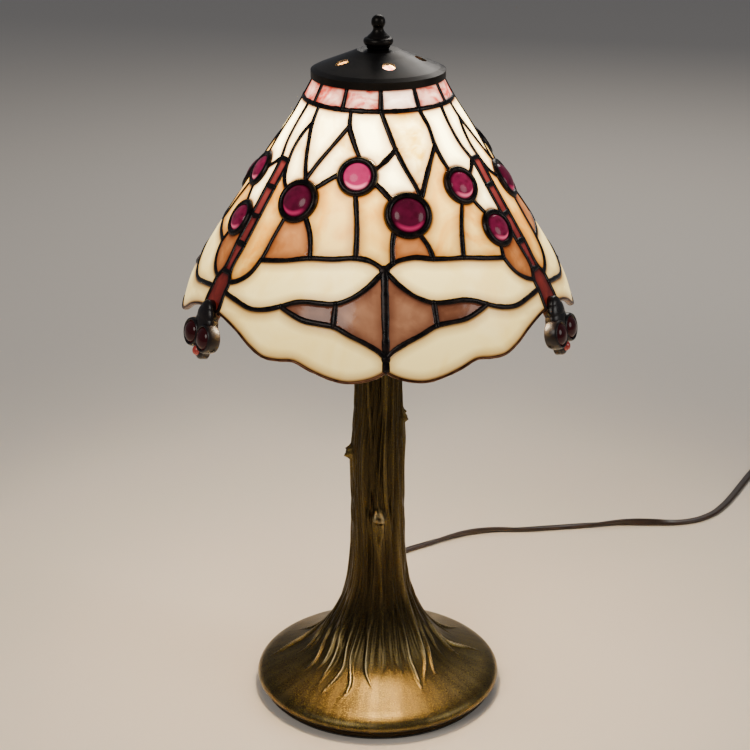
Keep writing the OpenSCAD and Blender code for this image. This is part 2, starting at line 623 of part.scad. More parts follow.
trunk_casting();
base_weight();
felt_pad();
threaded_rod();
rod_washer();
rod_nut();
cord_gland();
inner_lead();
check_ring();
bow_saddle();
lock_nut();
bow_wire();
bow_sleeves();
bow_boss();
socket_cap();
cap_set_screw();
socket_shell();
shell_liner();
socket_core();
screw_shell();
centre_contact();
terminal_screws();
switch_key();
key_stem();
bulb_glass();
bulb_cap();
bulb_tip();
bulb_stem();
filament();
shade_stud();
seat_disc();
heat_cap();
top_ring();
solder_lattice();
jewel_collars();
band_glass();
crown_glass();
shoulder_glass();
skirt_glass();
amber_glass();
upper_wings();
lower_wings();
diamond_glass();
bar_glass();
tail_glass();
thorax_glass();
large_jewels();
small_jewels();
head_solder();
eye_jewels();
mouth_beads();
finial();
cord();
cord_coil();
cord_tail();
plug_body();
plug_blades();
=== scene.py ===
"""Stained glass table lamp: a leaded shade of dragonflies and jewels over a cast tree trunk."""
import math

import bpy
import mathutils
import numpy as np
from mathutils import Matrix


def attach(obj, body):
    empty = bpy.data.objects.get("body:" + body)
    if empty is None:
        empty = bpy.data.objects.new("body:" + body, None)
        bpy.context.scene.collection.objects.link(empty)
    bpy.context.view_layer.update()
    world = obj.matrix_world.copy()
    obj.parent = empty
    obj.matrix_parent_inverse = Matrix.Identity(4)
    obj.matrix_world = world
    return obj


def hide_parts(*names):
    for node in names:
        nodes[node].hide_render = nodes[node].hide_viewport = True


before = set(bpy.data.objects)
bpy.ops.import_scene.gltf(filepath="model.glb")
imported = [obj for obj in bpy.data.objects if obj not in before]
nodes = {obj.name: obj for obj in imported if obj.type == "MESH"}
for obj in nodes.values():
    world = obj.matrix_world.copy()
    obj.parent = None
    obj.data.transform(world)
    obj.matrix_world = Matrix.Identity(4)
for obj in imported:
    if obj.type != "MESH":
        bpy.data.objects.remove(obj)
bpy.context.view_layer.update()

# The stage: a camera a little above the shade, looking down at the lamp, on a plain pale
# floor under soft studio lamps, with the lamp's own warm bulb as the brightest light.
camera_distance, camera_height, camera_tilt = 1.111, 0.660, 21.3
camera_data = bpy.data.cameras.new("camera")
camera_data.lens = 87.8
camera_data.sensor_width = 36
camera = bpy.data.objects.new("camera", camera_data)
camera.location = (-0.002, -camera_distance, camera_height)
camera.rotation_euler = (math.radians(90 - camera_tilt), 0, 0)
bpy.context.scene.collection.objects.link(camera)
bpy.context.scene.camera = camera

world = bpy.data.worlds.new("studio")
world.use_nodes = True
world.node_tree.nodes["Background"].inputs["Color"].default_value = (0.62, 0.66, 0.75, 1)
world.node_tree.nodes["Background"].inputs["Strength"].default_value = 0.20
bpy.context.scene.world = world


def softbox(name, place, aim, width, watts, colour):
    """A round soft light at one point, turned to face another."""
    data = bpy.data.lights.new(name, "AREA")
    data.shape, data.size, data.energy, data.color = "DISK", width, watts, colour
    lamp = bpy.data.objects.new(name, data)
    lamp.location = place
    lamp.rotation_euler = (mathutils.Vector(aim) - mathutils.Vector(place)).to_track_quat("-Z", "Y").to_euler()
    bpy.context.scene.collection.objects.link(lamp)
    return lamp


softbox("key_light", (-0.9, -1.3, 1.5), (0, 0, 0.2), 1.0, 12, (1.0, 0.95, 0.88))
softbox("side_light", (1.4, -0.5, 0.9), (0, 0, 0.2), 0.8, 5, (1.0, 0.97, 0.93))
softbox("back_light", (0.3, 1.4, 1.3), (0, 0, 0.3), 0.9, 9, (1.0, 0.95, 0.88))

floor_material = bpy.data.materials.new("floor_card")
floor_material.use_nodes = True
floor_look = floor_material.node_tree.nodes["Principled BSDF"]
floor_look.inputs["Base Color"].default_value = (0.82, 0.75, 0.66, 1)
floor_look.inputs["Roughness"].default_value = 0.8
floor_half = 7.0
floor_mesh = bpy.data.meshes.new("floor")
floor_mesh.from_pydata([(-floor_half, -floor_half, 0), (floor_half, -floor_half, 0),
                        (floor_half, floor_half, 0), (-floor_half, floor_half, 0)], [], [(0, 1, 2, 3)])
floor_mesh.materials.append(floor_material)
floor = bpy.data.objects.new("floor", floor_mesh)
bpy.context.scene.collection.objects.link(floor)

# The flex: 1.8 m of brown flat twin lead. It leaves the back of the foot, lies on the table
# with a twist or two, and the spare length is wound in a round coil with the plug beside it.
flex_width, flex_thickness, flex_length = 0.0060, 0.0032, 1.8
flex_route = np.array([
    [0, 103.5, 7], [0, 110, 6.8], [0, 118, 5.6], [0.5, 127, 4.2], [1, 137, 3.2], [2, 150, 3],
    [5, 165, 3], [11, 180, 3], [22, 193, 3], [38, 204, 3], [56, 215, 3], [75, 224, 3],
    [95, 229, 3], [118, 231, 3], [145, 235, 3], [172, 239, 3], [200, 242, 3], [225, 243, 3],
    [245, 244, 3], [262, 249, 3], [277, 260, 3], [290, 277, 3], [301, 296, 3], [312, 317, 3],
    [323, 338, 3], [333, 356, 3], [341, 370, 3], [345, 380, 3]]) / 1000
flex_tail = np.array([[420, 388, 8], [422, 378, 7], [422.5, 368, 7], [422.5, 358, 7]]) / 1000
coil_middle = np.array([0.384, 0.386])
coil_from, coil_turns = math.radians(188.7), 5 + 185.5 / 360
coil_columns = np.array([0.0362, 0.0298, 0.0298, 0.0364, 0.0300, 0.0364])
coil_layers = np.array([0.0030, 0.0022, 0.0055, 0.0058, 0.0092, 0.0092])


def smoothstep(x, low, high):
    """0 below low, 1 above high, and the cubic 3t2 - 2t3 between."""
    t = np.clip((x - low) / (high - low), 0, 1)
    return t * t * (3 - 2 * t)


def through(points, step, before=None, after=None):
    """A smooth line through points, about step apart. Each point's direction is the mean of its
    two sides, weighted towards the shorter one, and a cubic joins each pair. before and after
    are neighbours past the ends, which steer the ends and aren't part of the line."""
    p = np.asarray(points, float)
    p = p if before is None else np.vstack([before, p])
    p = p if after is None else np.vstack([p, after])
    gap = np.linalg.norm(np.diff(p, axis=0), axis=1)[:, None]
    way = np.diff(p, axis=0) / gap
    turn = np.vstack([way[:1], (way[:-1] * gap[1:] + way[1:] * gap[:-1]) / (gap[:-1] + gap[1:]), way[-1:]])
    if len(p) > 2:
        turn[0], turn[-1] = 1.5 * way[0] - 0.5 * turn[1], 1.5 * way[-1] - 0.5 * turn[-2]
    first, last = int(before is not None), len(p) - 1 - int(after is not None)
    counts = np.maximum(1, np.ceil(gap[first:last, 0] / step).astype(int))
    k = np.repeat(np.arange(first, last), counts)
    u = (np.concatenate([np.arange(n) / n for n in counts]))[:, None]
    line = ((2 * u**3 - 3 * u**2 + 1) * p[k] + (u**3 - 2 * u**2 + u) * gap[k] * turn[k]
            + (3 * u**2 - 2 * u**3) * p[k + 1] + (u**3 - u**2) * gap[k] * turn[k + 1])
    return np.vstack([line, p[last]])


def swept(path, sections, outward=(0, 0, 1)):
    """Points and faces of a tube: at ring i, section point (s, n) lies s across the path and n
    along outward made square to the path. sections is one outline or one for each ring, against
    the clock; outward is one direction or one for each ring. Both ends are closed."""
    path = np.asarray(path, float)
    sections = np.broadcast_to(sections, (len(path), *np.shape(sections)[-2:]))
    ahead = np.gradient(path, axis=0)
    ahead /= np.linalg.norm(ahead, axis=1, keepdims=True)
    across = np.cross(ahead, np.broadcast_to(outward, path.shape))
    across /= np.linalg.norm(across, axis=1, keepdims=True)
    up = np.cross(across, ahead)
    points = (path[:, None] + sections[..., :1] * across[:, None] + sections[..., 1:] * up[:, None])
    return points.reshape(-1, 3), tube_faces(len(path), sections.shape[1])


def tube_faces(rings, sides, start=0, caps=True):
    """Quads between rings of points laid end to end, and one face to close each end."""
    i, j = np.meshgrid(np.arange(rings - 1), np.arange(sides), indexing="ij")
    a, b = start + i * sides + j, start + i * sides + (j + 1) % sides
    quads = np.stack([a, b, b + sides, a + sides], axis=-1).reshape(-1, 4).tolist()
    if not caps:
        return quads
    ends = [list(range(start + sides - 1, start - 1, -1)),
            list(range(start + (rings - 1) * sides, start + rings * sides))]
    return quads + ends


def new_piece(name, points, faces, material, body, slot_name, stands_for=(), values=None):
    """A smooth mesh object of points in metres. values are extra numbers for each point, by name,
    that its material reads."""
    mesh = bpy.data.meshes.new(name)
    mesh.from_pydata(np.asarray(points, float).tolist(), [], faces)
    mesh.polygons.foreach_set("use_smooth", np.ones(len(mesh.polygons), bool))
    for key, numbers in (values or {}).items():
        numbers = np.asarray(numbers, np.float32)
        vector = numbers.ndim == 2
        layer = mesh.attributes.new(key, "FLOAT_VECTOR" if vector else "FLOAT", "POINT")
        layer.data.foreach_set("vector" if vector else "value", numbers.ravel())
    mesh.materials.append(material)
    mesh.update()
    piece = bpy.data.objects.new(name, mesh)
    bpy.context.scene.collection.objects.link(piece)
    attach(piece, body)
    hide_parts(*stands_for)
    return piece


def plain_material(name, colour, rough, metal=0.0, **sockets):
    """A Principled material with constant sockets: the nodes that vary it are added after."""
    material = bpy.data.materials.new(name)
    material.use_nodes = True
    look = material.node_tree.nodes["Principled BSDF"]
    look.inputs["Base Color"].default_value = (*colour, 1)
    look.inputs["Roughness"].default_value = rough
    look.inputs["Metallic"].default_value = metal
    for key, value in sockets.items():
        look.inputs[key.replace("_", " ")].default_value = value
    return material


def varied(material, dark, light, scale, stretch=(1, 1, 1), rough=None, bump=0.0, detail=4.0):
    """Mottles a material: noise on Object coordinates runs its colour from dark to light and its
    roughness over a range, and stands as fine relief."""
    tree = material.node_tree
    look = tree.nodes["Principled BSDF"]
    place = tree.nodes.new("ShaderNodeTexCoord")
    sized = tree.nodes.new("ShaderNodeMapping")
    sized.inputs["Scale"].default_value = stretch
    noise = tree.nodes.new("ShaderNodeTexNoise")
    noise.inputs["Scale"].default_value = scale
    noise.inputs["Detail"].default_value = detail
    ramp = tree.nodes.new("ShaderNodeMapRange")
    ramp.data_type = "FLOAT_VECTOR"
    ramp.inputs[7].default_value = (0.3, 0.3, 0.3)
    ramp.inputs[8].default_value = (0.7, 0.7, 0.7)
    ramp.inputs[9].default_value = dark
    ramp.inputs[10].default_value = light
    tree.links.new(place.outputs["Object"], sized.inputs["Vector"])
    tree.links.new(sized.outputs["Vector"], noise.inputs["Vector"])
    tree.links.new(noise.outputs["Fac"], ramp.inputs[6])
    tree.links.new(ramp.outputs[1], look.inputs["Base Color"])
    if rough:
        span = tree.nodes.new("ShaderNodeMapRange")
        span.inputs["From Min"].default_value, span.inputs["From Max"].default_value = 0.3, 0.7
        span.inputs["To Min"].default_value, span.inputs["To Max"].default_value = rough
        tree.links.new(noise.outputs["Fac"], span.inputs["Value"])
        tree.links.new(span.outputs["Result"], look.inputs["Roughness"])
    if bump:
        relief = tree.nodes.new("ShaderNodeBump")
        relief.inputs["Strength"].default_value = 0.6
        relief.inputs["Distance"].default_value = bump
        tree.links.new(noise.outputs["Fac"], relief.inputs["Height"])
        tree.links.new(relief.outputs["Normal"], look.inputs["Normal"])
    return material


flex_plastic = varied(plain_material("flex_plastic", (0.05, 0.025, 0.012), 0.35, Specular_IOR_Level=0.5),
                      (0.014, 0.007, 0.004), (0.034, 0.017, 0.009), 160, rough=(0.28, 0.45), bump=0.0001)

loose = through(flex_route, 0.003)
turn_angle = np.linspace(0, coil_turns, 260)
whole, part = np.floor(turn_angle + 1e-9).astype(int), turn_angle % 1
blend = smoothstep(part, 0, 0.14)
coil_radius = coil_columns[whole - (whole > 0)] * (1 - blend) + coil_columns[whole] * blend
coil_radius += 0.0033 * (1 - smoothstep(turn_angle, 0, 0.16))
coil_height = coil_layers[whole - (whole > 0)] * (1 - blend) + coil_layers[whole] * blend
swing = coil_from - 2 * math.pi * turn_angle
coil_line = np.column_stack([coil_middle[0] + coil_radius * np.cos(swing),
                             coil_middle[1] + coil_radius * np.sin(swing), coil_height])
flex_line = np.vstack([loose[:-1], through(np.vstack([coil_line[2:-2:4], flex_tail]), 0.003,
                                           before=loose[-2])])
flex_along = np.concatenate([[0], np.cumsum(np.linalg.norm(np.diff(flex_line, axis=0), axis=1))])
loose_long = flex_along[len(loose)]
lying = smoothstep(flex_along, 0.03, 0.06) * (1 - smoothstep(flex_along, loose_long - 0.06, loose_long))
flex_tilt = (1.15 * np.exp(-((flex_along - 0.16) / 0.035) ** 2)
             + math.pi * smoothstep(flex_along, 0.24, 0.34)) * (flex_along < loose_long)
flex_tilt[flex_along >= loose_long - 0.06] = math.pi
core_apart = (flex_width - flex_thickness) / 2
rest_height = flex_thickness / 2 + core_apart * np.abs(np.sin(flex_tilt))
flex_line[:, 2] = flex_line[:, 2] * (1 - lying) + rest_height * lying
around = np.linspace(0, 2 * math.pi, 24, endpoint=False)
lobe = flex_thickness / 2
flex_outline = np.column_stack([np.sign(np.cos(around)) * core_apart + lobe * np.cos(around),
                                lobe * np.sin(around)])
flex_outline[np.abs(np.cos(around)) < 0.05, 0] = 0
flex_outline[np.abs(np.cos(around)) < 0.05, 1] *= 0.72
cos_t, sin_t = np.cos(flex_tilt)[:, None], np.sin(flex_tilt)[:, None]
flex_sections = np.stack([flex_outline[:, 0] * cos_t - flex_outline[:, 1] * sin_t,
                          flex_outline[:, 0] * sin_t + flex_outline[:, 1] * cos_t], axis=-1)
flex = new_piece("flex", *swept(flex_line, flex_sections), flex_plastic, "root", "cord_plastic",
                 ("cord", "cord_coil", "cord_tail"))

# The trunk: a hollow casting, poured in one with its roots and the round foot, then coated in
# brown antique bronze and rubbed back to gold on the ridges of the bark.
trunk_profile = np.array([
    [8, 246], [15, 246], [15.9, 245], [15.8, 236], [15.7, 227], [15.9, 212], [16.3, 200], [17.3, 180],
    [17.6, 155], [17.7, 130], [18.5, 102], [20.4, 82], [22.7, 72], [25.3, 64], [30.2, 53], [37, 41.5],
    [46, 31.5], [56, 25.2], [63, 22.0], [69, 19.5], [74, 17.5], [78, 15.6], [80.8, 13.7], [82.4, 11.7],
    [83, 9.8], [82.6, 8.1], [81.2, 6.9], [79.3, 6.3], [79, 5], [79, 2.1], [77.2, 2]]) / 1000
root_tips = np.array([
    [-164, 60], [-148, 71], [-131, 57], [-114, 67], [-95, 79], [-82, 60], [-70, 54], [-60, 63], [-48, 57],
    [-37, 64], [-30, 70], [-24, 71], [-5, 60], [3, 46], [15, 47], [25, 66], [35, 60], [50, 61], [61, 54],
    [74, 63], [90, 76], [105, 58], [120, 72], [136, 59], [150, 66], [172, 68]])
bark_depth, root_rise, knot_radius = 0.0013, 0.0024, 0.0045
trunk_rows, trunk_columns = 230, 420

profile_line = through(trunk_profile, 0.0002)
profile_along = np.concatenate([[0], np.cumsum(np.linalg.norm(np.diff(profile_line, axis=0), axis=1))])
closeness = 1 + 1.5 * smoothstep(profile_along, 0.16, 0.22)
row_share = np.concatenate([[0], np.cumsum(np.diff(profile_along) * closeness[1:])])
row_along = np.interp(np.linspace(0, row_share[-1], trunk_rows), row_share, profile_along)
row_r = np.interp(row_along, profile_along, profile_line[:, 0])
row_z = np.interp(row_along, profile_along, profile_line[:, 1])
lean = np.column_stack([np.gradient(row_r), np.gradient(row_z)])
lean /= np.linalg.norm(lean, axis=1, keepdims=True)
face_r, face_z = -lean[:, 1], lean[:, 0]
azimuth = np.linspace(-180, 180, trunk_columns, endpoint=False)
phi, z_of = np.meshgrid(azimuth, row_z)
r_of = np.repeat(row_r[:, None], trunk_columns, axis=1)

rng = np.random.default_rng(7)
strand_start = np.linspace(-180, 180, len(root_tips), endpoint=False) + 7 + rng.uniform(-4, 4, len(root_tips))
spread = smoothstep(r_of, 0.020, 0.058)
bark = np.zeros_like(phi)
ridge_line = np.zeros_like(phi)
for start, (tip_az, tip_r), phase in zip(strand_start, root_tips, rng.uniform(0, 6.28, (len(root_tips), 3))):
    wander = (6.0 * np.sin(z_of / 0.040 + phase[0]) + 2.6 * np.sin(z_of / 0.017 + phase[1])) * (1 - spread)
    wander += 4.5 * np.sin((r_of - 0.02) / 0.0095 + phase[2]) * smoothstep(r_of, 0.030, 0.050)
    off = (phi - (start * (1 - spread) + tip_az * spread + wander) + 180) % 360 - 180
    swirl = 13 * np.exp(-((z_of - 0.126) / 0.012) ** 2) * np.exp(-(start / 16) ** 2) * np.sign(start)
    off = np.abs(off - swirl) * math.pi / 180 * r_of
    fade = 1 - smoothstep(r_of, tip_r / 1000 - 0.022, tip_r / 1000)
    half = (0.0023 + 0.0009 * math.sin(3 * phase[0])) * (1 - spread) + (0.0005 + 0.0012 * fade) * spread
    rise = bark_depth * (1 + 0.35 * math.sin(5 * phase[1])) * (1 - spread) + root_rise * spread * fade
    ridge = np.clip(1 - off / half, 0, 1)
    bark = np.maximum(bark, rise * ridge ** (0.65 + 0.55 * spread))
    ridge_line = np.maximum(ridge_line, smoothstep(ridge, 0.35, 0.9) * (fade ** 0.4 * spread + 0.16 * (1 - spread)))
bark += 0.00030 * np.sin(np.radians(phi) * 47 + 5 * np.sin(z_of / 0.021)) * (1 - spread)
bark += 0.00055 * np.sin(np.radians(phi) * 7 + 1.3 * np.sin(z_of / 0.045)) * (1 - spread)
bark *= smoothstep(row_along, 0.009, 0.013)[:, None] * (1 - smoothstep(r_of, 0.074, 0.079))
bark -= 0.0009 * (1 - spread) * smoothstep(row_along, 0.009, 0.013)[:, None]

knots, pith = np.zeros_like(phi), np.zeros_like(phi)
for knot_az, knot_z, knot_out in ((2, 0.1325, 0.0036), (-88, 0.173, 0.0040), (88, 0.199, 0.0024)):
    east = ((phi - knot_az + 180) % 360 - 180) * math.pi / 180 * r_of
    gap = np.hypot(east, z_of - knot_z)
    knots += knot_out * (1 - smoothstep(gap, knot_radius * 0.62, knot_radius * 1.15))
    knots -= 0.0018 * (1 - smoothstep(gap, knot_radius * 0.1, knot_radius * 0.62))
    pith = np.maximum(pith, 1 - smoothstep(gap, 0.0004, knot_radius * 0.5))
    knots += 0.0011 * np.exp(-(east / 0.0055) ** 2) * smoothstep(z_of, knot_z - 0.034, knot_z) * (z_of < knot_z)
relief = bark + knots
skin_r = r_of + relief * face_r[:, None]
skin_z = z_of + relief * face_z[:, None]
skin = np.stack([skin_r * np.sin(np.radians(phi)), -skin_r * np.cos(np.radians(phi)), skin_z], axis=-1)
# Gold rubbed on the ridges of the bark, plus a painted highlight on the front knot only.
rubbed_gold_and_knot_highlight = np.clip(ridge_line + 0.45 * np.clip(knots / 0.0030, 0, 1) * (np.abs(phi) < 40), 0, 1)
hollow = np.clip(0.62 - bark / bark_depth * 0.50, 0.10, 0.64) * (1 - smoothstep(r_of, 0.024, 0.060))
hollow *= smoothstep(row_along, 0.009, 0.013)[:, None] * (1 - 0.6 * np.clip(knots / 0.0008, 0, 1))
# Darker in the bark's hollows and at the knots' hearts, and a band of painted shadow along the foot's lowest 10 mm.
dark_hollows_and_base_shadow = np.maximum(np.maximum(hollow, 0.8 * pith), 1 - smoothstep(z_of, 0.0068, 0.0098))
grain = np.stack([np.cos(np.radians(phi)) * 0.05, np.sin(np.radians(phi)) * 0.05,
                  np.repeat(row_along[:, None], trunk_columns, axis=1) * 0.12], axis=-1)


def add_nodes(tree, *kinds):
    """One new node of each kind, in order."""
    return [tree.nodes.new(kind) for kind in kinds]


def mixed(tree, factor, a, b, kind="MIX"):
    """A colour mix: a and b are colours or sockets, and factor is a number or a socket."""
    mix = tree.nodes.new("ShaderNodeMix")
    mix.data_type, mix.blend_type = "RGBA", kind
    for socket, value in ((0, factor), (6, a), (7, b)):
        if isinstance(value, (int, float)):
            mix.inputs[socket].default_value = value
        elif isinstance(value, tuple):
            mix.inputs[socket].default_value = (*value, 1)
        else:
            tree.links.new(value, mix.inputs[socket])
    return mix.outputs[2]


def spanned(tree, value, low, high, to_low=0.0, to_high=1.0):
    """A socket's value carried from one range to another, held at the ends."""
    span = tree.nodes.new("ShaderNodeMapRange")
    for key, number in (("From Min", low), ("From Max", high), ("To Min", to_low), ("To Max", to_high)):
        span.inputs[key].default_value = number
    tree.links.new(value, span.inputs["Value"])
    return span.outputs["Result"]


antique_bronze = plain_material("antique_bronze", (0.2, 0.13, 0.06), 0.38, 1.0)
tree = antique_bronze.node_tree
look = tree.nodes["Principled BSDF"]
ridges, hollow_and_shadow_mask, fibres, place = add_nodes(tree, *["ShaderNodeAttribute"] * 3, "ShaderNodeTexCoord")
ridges.attribute_name, hollow_and_shadow_mask.attribute_name, fibres.attribute_name = "rubbed_gold_and_knot_highlight", "dark_hollows_and_base_shadow", "grain"
clouds, speckle, streaks, relief_node = add_nodes(tree, *["ShaderNodeTexNoise"] * 3, "ShaderNodeBump")
clouds.inputs["Scale"].default_value, clouds.inputs["Detail"].default_value = 28, 4
speckle.inputs["Scale"].default_value, speckle.inputs["Detail"].default_value = 1100, 2
streaks.inputs["Scale"].default_value, streaks.inputs["Detail"].default_value = 220, 5
tree.links.new(place.outputs["Object"], clouds.inputs["Vector"])
tree.links.new(place.outputs["Object"], speckle.inputs["Vector"])
tree.links.new(fibres.outputs["Vector"], streaks.inputs["Vector"])
brown = mixed(tree, spanned(tree, clouds.outputs["Fac"], 0.35, 0.65), (0.070, 0.051, 0.022), (0.125, 0.091, 0.038))
brown = mixed(tree, spanned(tree, streaks.outputs["Fac"], 0.42, 0.66), brown, (0.165, 0.122, 0.052))
grainy = mixed(tree, spanned(tree, speckle.outputs["Fac"], 0.50, 0.68, 0.0, 0.55), brown, (0.34, 0.245, 0.040))
gold = mixed(tree, spanned(tree, ridges.outputs["Fac"], 0.25, 1.0, 0.0, 0.9), grainy, (0.95, 0.78, 0.44))
# Near-black where the mask says: the bark's hollows, the knots' hearts, and the painted shadow along the foot's bottom
# edge.
dark = mixed(tree, spanned(tree, hollow_and_shadow_mask.outputs["Fac"], 0.0, 0.8, 0.0, 0.95), gold, (0.014, 0.010, 0.007))
tree.links.new(dark, look.inputs["Base Color"])
tree.links.new(spanned(tree, speckle.outputs["Fac"], 0.3, 0.7, 0.27, 0.44), look.inputs["Roughness"])
tree.links.new(mixed(tree, 0.5, streaks.outputs["Color"], speckle.outputs["Color"]), relief_node.inputs["Height"])
relief_node.inputs["Strength"].default_value = 0.45
relief_node.inputs["Distance"].default_value = 0.0005
tree.links.new(relief_node.outputs["Normal"], look.inputs["Normal"])
new_piece("trunk_with_roots", skin.reshape(-1, 3), tube_faces(trunk_rows, trunk_columns), antique_bronze,
          "root", "antique_bronze", ("trunk_casting",),
          {"rubbed_gold_and_knot_highlight": rubbed_gold_and_knot_highlight.ravel(), "dark_hollows_and_base_shadow": dark_hollows_and_base_shadow.ravel(), "grain": grain.reshape(-1, 3)})

# Inside and under the foot: an iron weight, the felt that it stands on, and the hollow rod
# with its nut and washer that holds the lamp together. The flex runs up through the rod.
raw_iron = varied(plain_material("raw_iron", (0.1, 0.1, 0.1), 0.7, 0.7), (0.06, 0.055, 0.05), (0.16, 0.15, 0.14),
                  90, rough=(0.55, 0.85), bump=0.0004)
black_felt = varied(plain_material("black_felt", (0.03, 0.026, 0.022), 0.95, Sheen_Weight=0.4),
                    (0.018, 0.016, 0.014), (0.05, 0.045, 0.04), 900, rough=(0.9, 1.0), bump=0.0004)
zinc_plate = varied(plain_material("zinc_plate", (0.55, 0.56, 0.58), 0.35, 1.0), (0.44, 0.45, 0.47),
                    (0.62, 0.63, 0.64), 300, rough=(0.28, 0.45), bump=0.00003)
satin_brass = varied(plain_material("satin_brass", (0.62, 0.44, 0.18), 0.3, 1.0), (0.50, 0.34, 0.13),
                     (0.70, 0.52, 0.24), 60, (1, 1, 6), rough=(0.22, 0.4), bump=0.00003)
moulded_black = varied(plain_material("moulded_black", (0.02, 0.017, 0.015), 0.35), (0.014, 0.012, 0.011),
                       (0.03, 0.026, 0.023), 200, rough=(0.3, 0.45), bump=0.00004)
holder_card = varied(plain_material("holder_card", (0.5, 0.4, 0.26), 0.85), (0.42, 0.33, 0.21),
                     (0.56, 0.46, 0.31), 250, (1, 1, 0.3), rough=(0.8, 0.95), bump=0.0001)
for name, finish in (("base_weight", raw_iron), ("felt_pad", black_felt), ("threaded_rod", zinc_plate),
                     ("rod_washer", zinc_plate), ("rod_nut", zinc_plate), ("lock_nut", zinc_plate),
                     ("cord_gland", moulded_black), ("inner_lead", flex_plastic), ("plug_body", moulded_black),
                     ("plug_blades", satin_brass), ("bow_saddle", satin_brass), ("bow_sleeves", satin_brass),
                     ("bow_boss", satin_brass), ("socket_cap", satin_brass), ("cap_set_screw", zinc_plate),
                     ("socket_shell", satin_brass), ("shell_liner", holder_card), ("socket_core", moulded_black),
                     ("screw_shell", satin_brass), ("centre_contact", satin_brass),
                     ("terminal_screws", satin_brass), ("switch_key", moulded_black), ("key_stem", satin_brass),
                     ("shade_stud", satin_brass), ("seat_disc", satin_brass), ("top_ring", satin_brass)):
    data = nodes[name].data
    data.materials.clear()
    data.materials.append(finish)

# Above the trunk: a spun ring, and the bow of two bent brass wires that carries the shade.
dark_bronze = varied(plain_material("dark_bronze", (0.012, 0.010, 0.008), 0.34, 0.7), (0.006, 0.005, 0.0045),
                     (0.024, 0.018, 0.013), 45, rough=(0.28, 0.46), bump=0.0001)


def turned_piece(profile, sides=128):
    """Points and faces of a lathe-turned solid: each [radius, height] in metres is one ring."""
    profile = np.asarray(profile, float)
    angle = np.linspace(0, 2 * math.pi, sides, endpoint=False)
    points = np.stack([profile[:, :1] * np.cos(angle), profile[:, :1] * np.sin(angle),
                       np.repeat(profile[:, 1:], sides, axis=1)], axis=-1)
    return points.reshape(-1, 3), tube_faces(len(profile), sides)


bow_route = np.array([[24, 258], [24, 268], [27, 280], [33, 295], [39, 312], [42.5, 329], [44, 346],
                      [43.5, 362], [41, 378], [36, 393], [29, 407], [21, 419], [13, 428], [5.5, 433]]) / 1000
wire_angle = np.linspace(0, 2 * math.pi, 16, endpoint=False)
wire_outline = 0.002 * np.column_stack([np.cos(wire_angle), np.sin(wire_angle)])
bow_line = through(bow_route, 0.002)
bow_points, bow_faces = [], []
for side in (-1, 1):
    wire = np.column_stack([side * bow_line[:, 0], np.zeros(len(bow_line)), bow_line[:, 1]])
    points, _ = swept(wire, wire_outline, outward=(0, -1, 0))
    bow_faces += tube_faces(len(wire), len(wire_outline), len(bow_points) * len(points))
    bow_points.append(points)
new_piece("bow_wires", np.vstack(bow_points), bow_faces, satin_brass, "root", "brass", ("bow_wire",))
ring_profile = np.array([[5.3, 246], [15, 246], [15.3, 246.4], [15.3, 247.2], [14.6, 247.9], [12.6, 248.6],
                         [11.5, 249], [5.3, 249]]) / 1000
new_piece("cover_ring", *turned_piece(ring_profile), dark_bronze, "root", "dark_bronze", ("check_ring",))

# The lamp holder and its bulb: a frosted round bulb in a brass screw shell. It is lit, and its
# light is what the glass shade is for. A small warm lamp in the bulb throws it on the foot.
bulb_middle, bulb_radius = 0.3566, 0.027
warm_light = (1.0, 0.83, 0.60)
frosted_glow = plain_material("frosted_glow", (1.0, 0.95, 0.86), 0.3, Emission_Strength=9.0,
                              Emission_Color=(1.0, 0.80, 0.52, 1))
bulb_arc = np.radians(np.linspace(-62, 90, 40))
bulb_skin = np.vstack([[[0.0119, 0.3175], [0.0121, 0.3235], [0.0124, 0.3295]],
                       np.column_stack([bulb_radius * np.cos(bulb_arc), bulb_middle + bulb_radius * np.sin(bulb_arc)])])
bulb_skin[-1, 0] = 0.00002
bulb = new_piece("frosted_bulb", *turned_piece(bulb_skin, 64), frosted_glow, "bulb", "bulb_glass",
                 ("bulb_glass", "bulb_stem", "filament"))
bulb.visible_shadow = False
for name in ("bulb_cap", "bulb_tip"):
    nodes[name].data.materials.clear()
    nodes[name].data.materials.append(zinc_plate)
glow_data = bpy.data.lights.new("bulb_light", "POINT")
glow_data.energy, glow_data.color, glow_data.shadow_soft_size = 7.5, warm_light, 0.024
glow_lamp = bpy.data.objects.new("bulb_light", glow_data)
glow_lamp.location = (0, 0, bulb_middle)
bpy.context.scene.collection.objects.link(glow_lamp)

# The shade's pattern: three dragonflies hang head down between round jewels, and one third of
# the leading is drawn as named points of azimuth in degrees and height in millimetres.
shade_profile = np.array([[262, 127], [278, 125], [298, 119], [322, 105], [411.5, 46], [424, 39.5]])
seam_turn, third_turn = 2.0, 120.0
glass_thick, rim_width = 2.6, 3.0
# The shade leans this far back from upright, in degrees, where the jewels sit
jewel_lean = 33.4
band_low, band_high, tail_azimuth = 411.5, 424.0, 60.0
jewel_places = {"J1": (-39.5, 362, 10), "J2": (-12.5, 378, 8.5), "J3": (10.5, 358, 10.5),
                "J4": (40, 369.5, 8.5), "J5": (50, 343.5, 8.5)}
eased_heights = np.arange(250, 440, 0.5)
eased_radii = np.mean([np.interp(eased_heights + shift, *shade_profile.T)
                       - (eased_heights + shift > 424) * (eased_heights + shift - 424) * 0.52
                       + (eased_heights + shift < 262) * (262 - eased_heights - shift) * 0.12
                       for shift in np.linspace(-8, 8, 17)], axis=0)


def shade_radius(height):
    """The shade's outer radius in mm: its five straight slopes, rounded into each other by
    averaging over 16 mm."""
    return np.interp(height, eased_heights, eased_radii)


def slope(height):
    """How far the glass leans back from upright at a height, in radians."""
    return np.arctan((shade_radius(height - 1) - shade_radius(height + 1)) / 2)


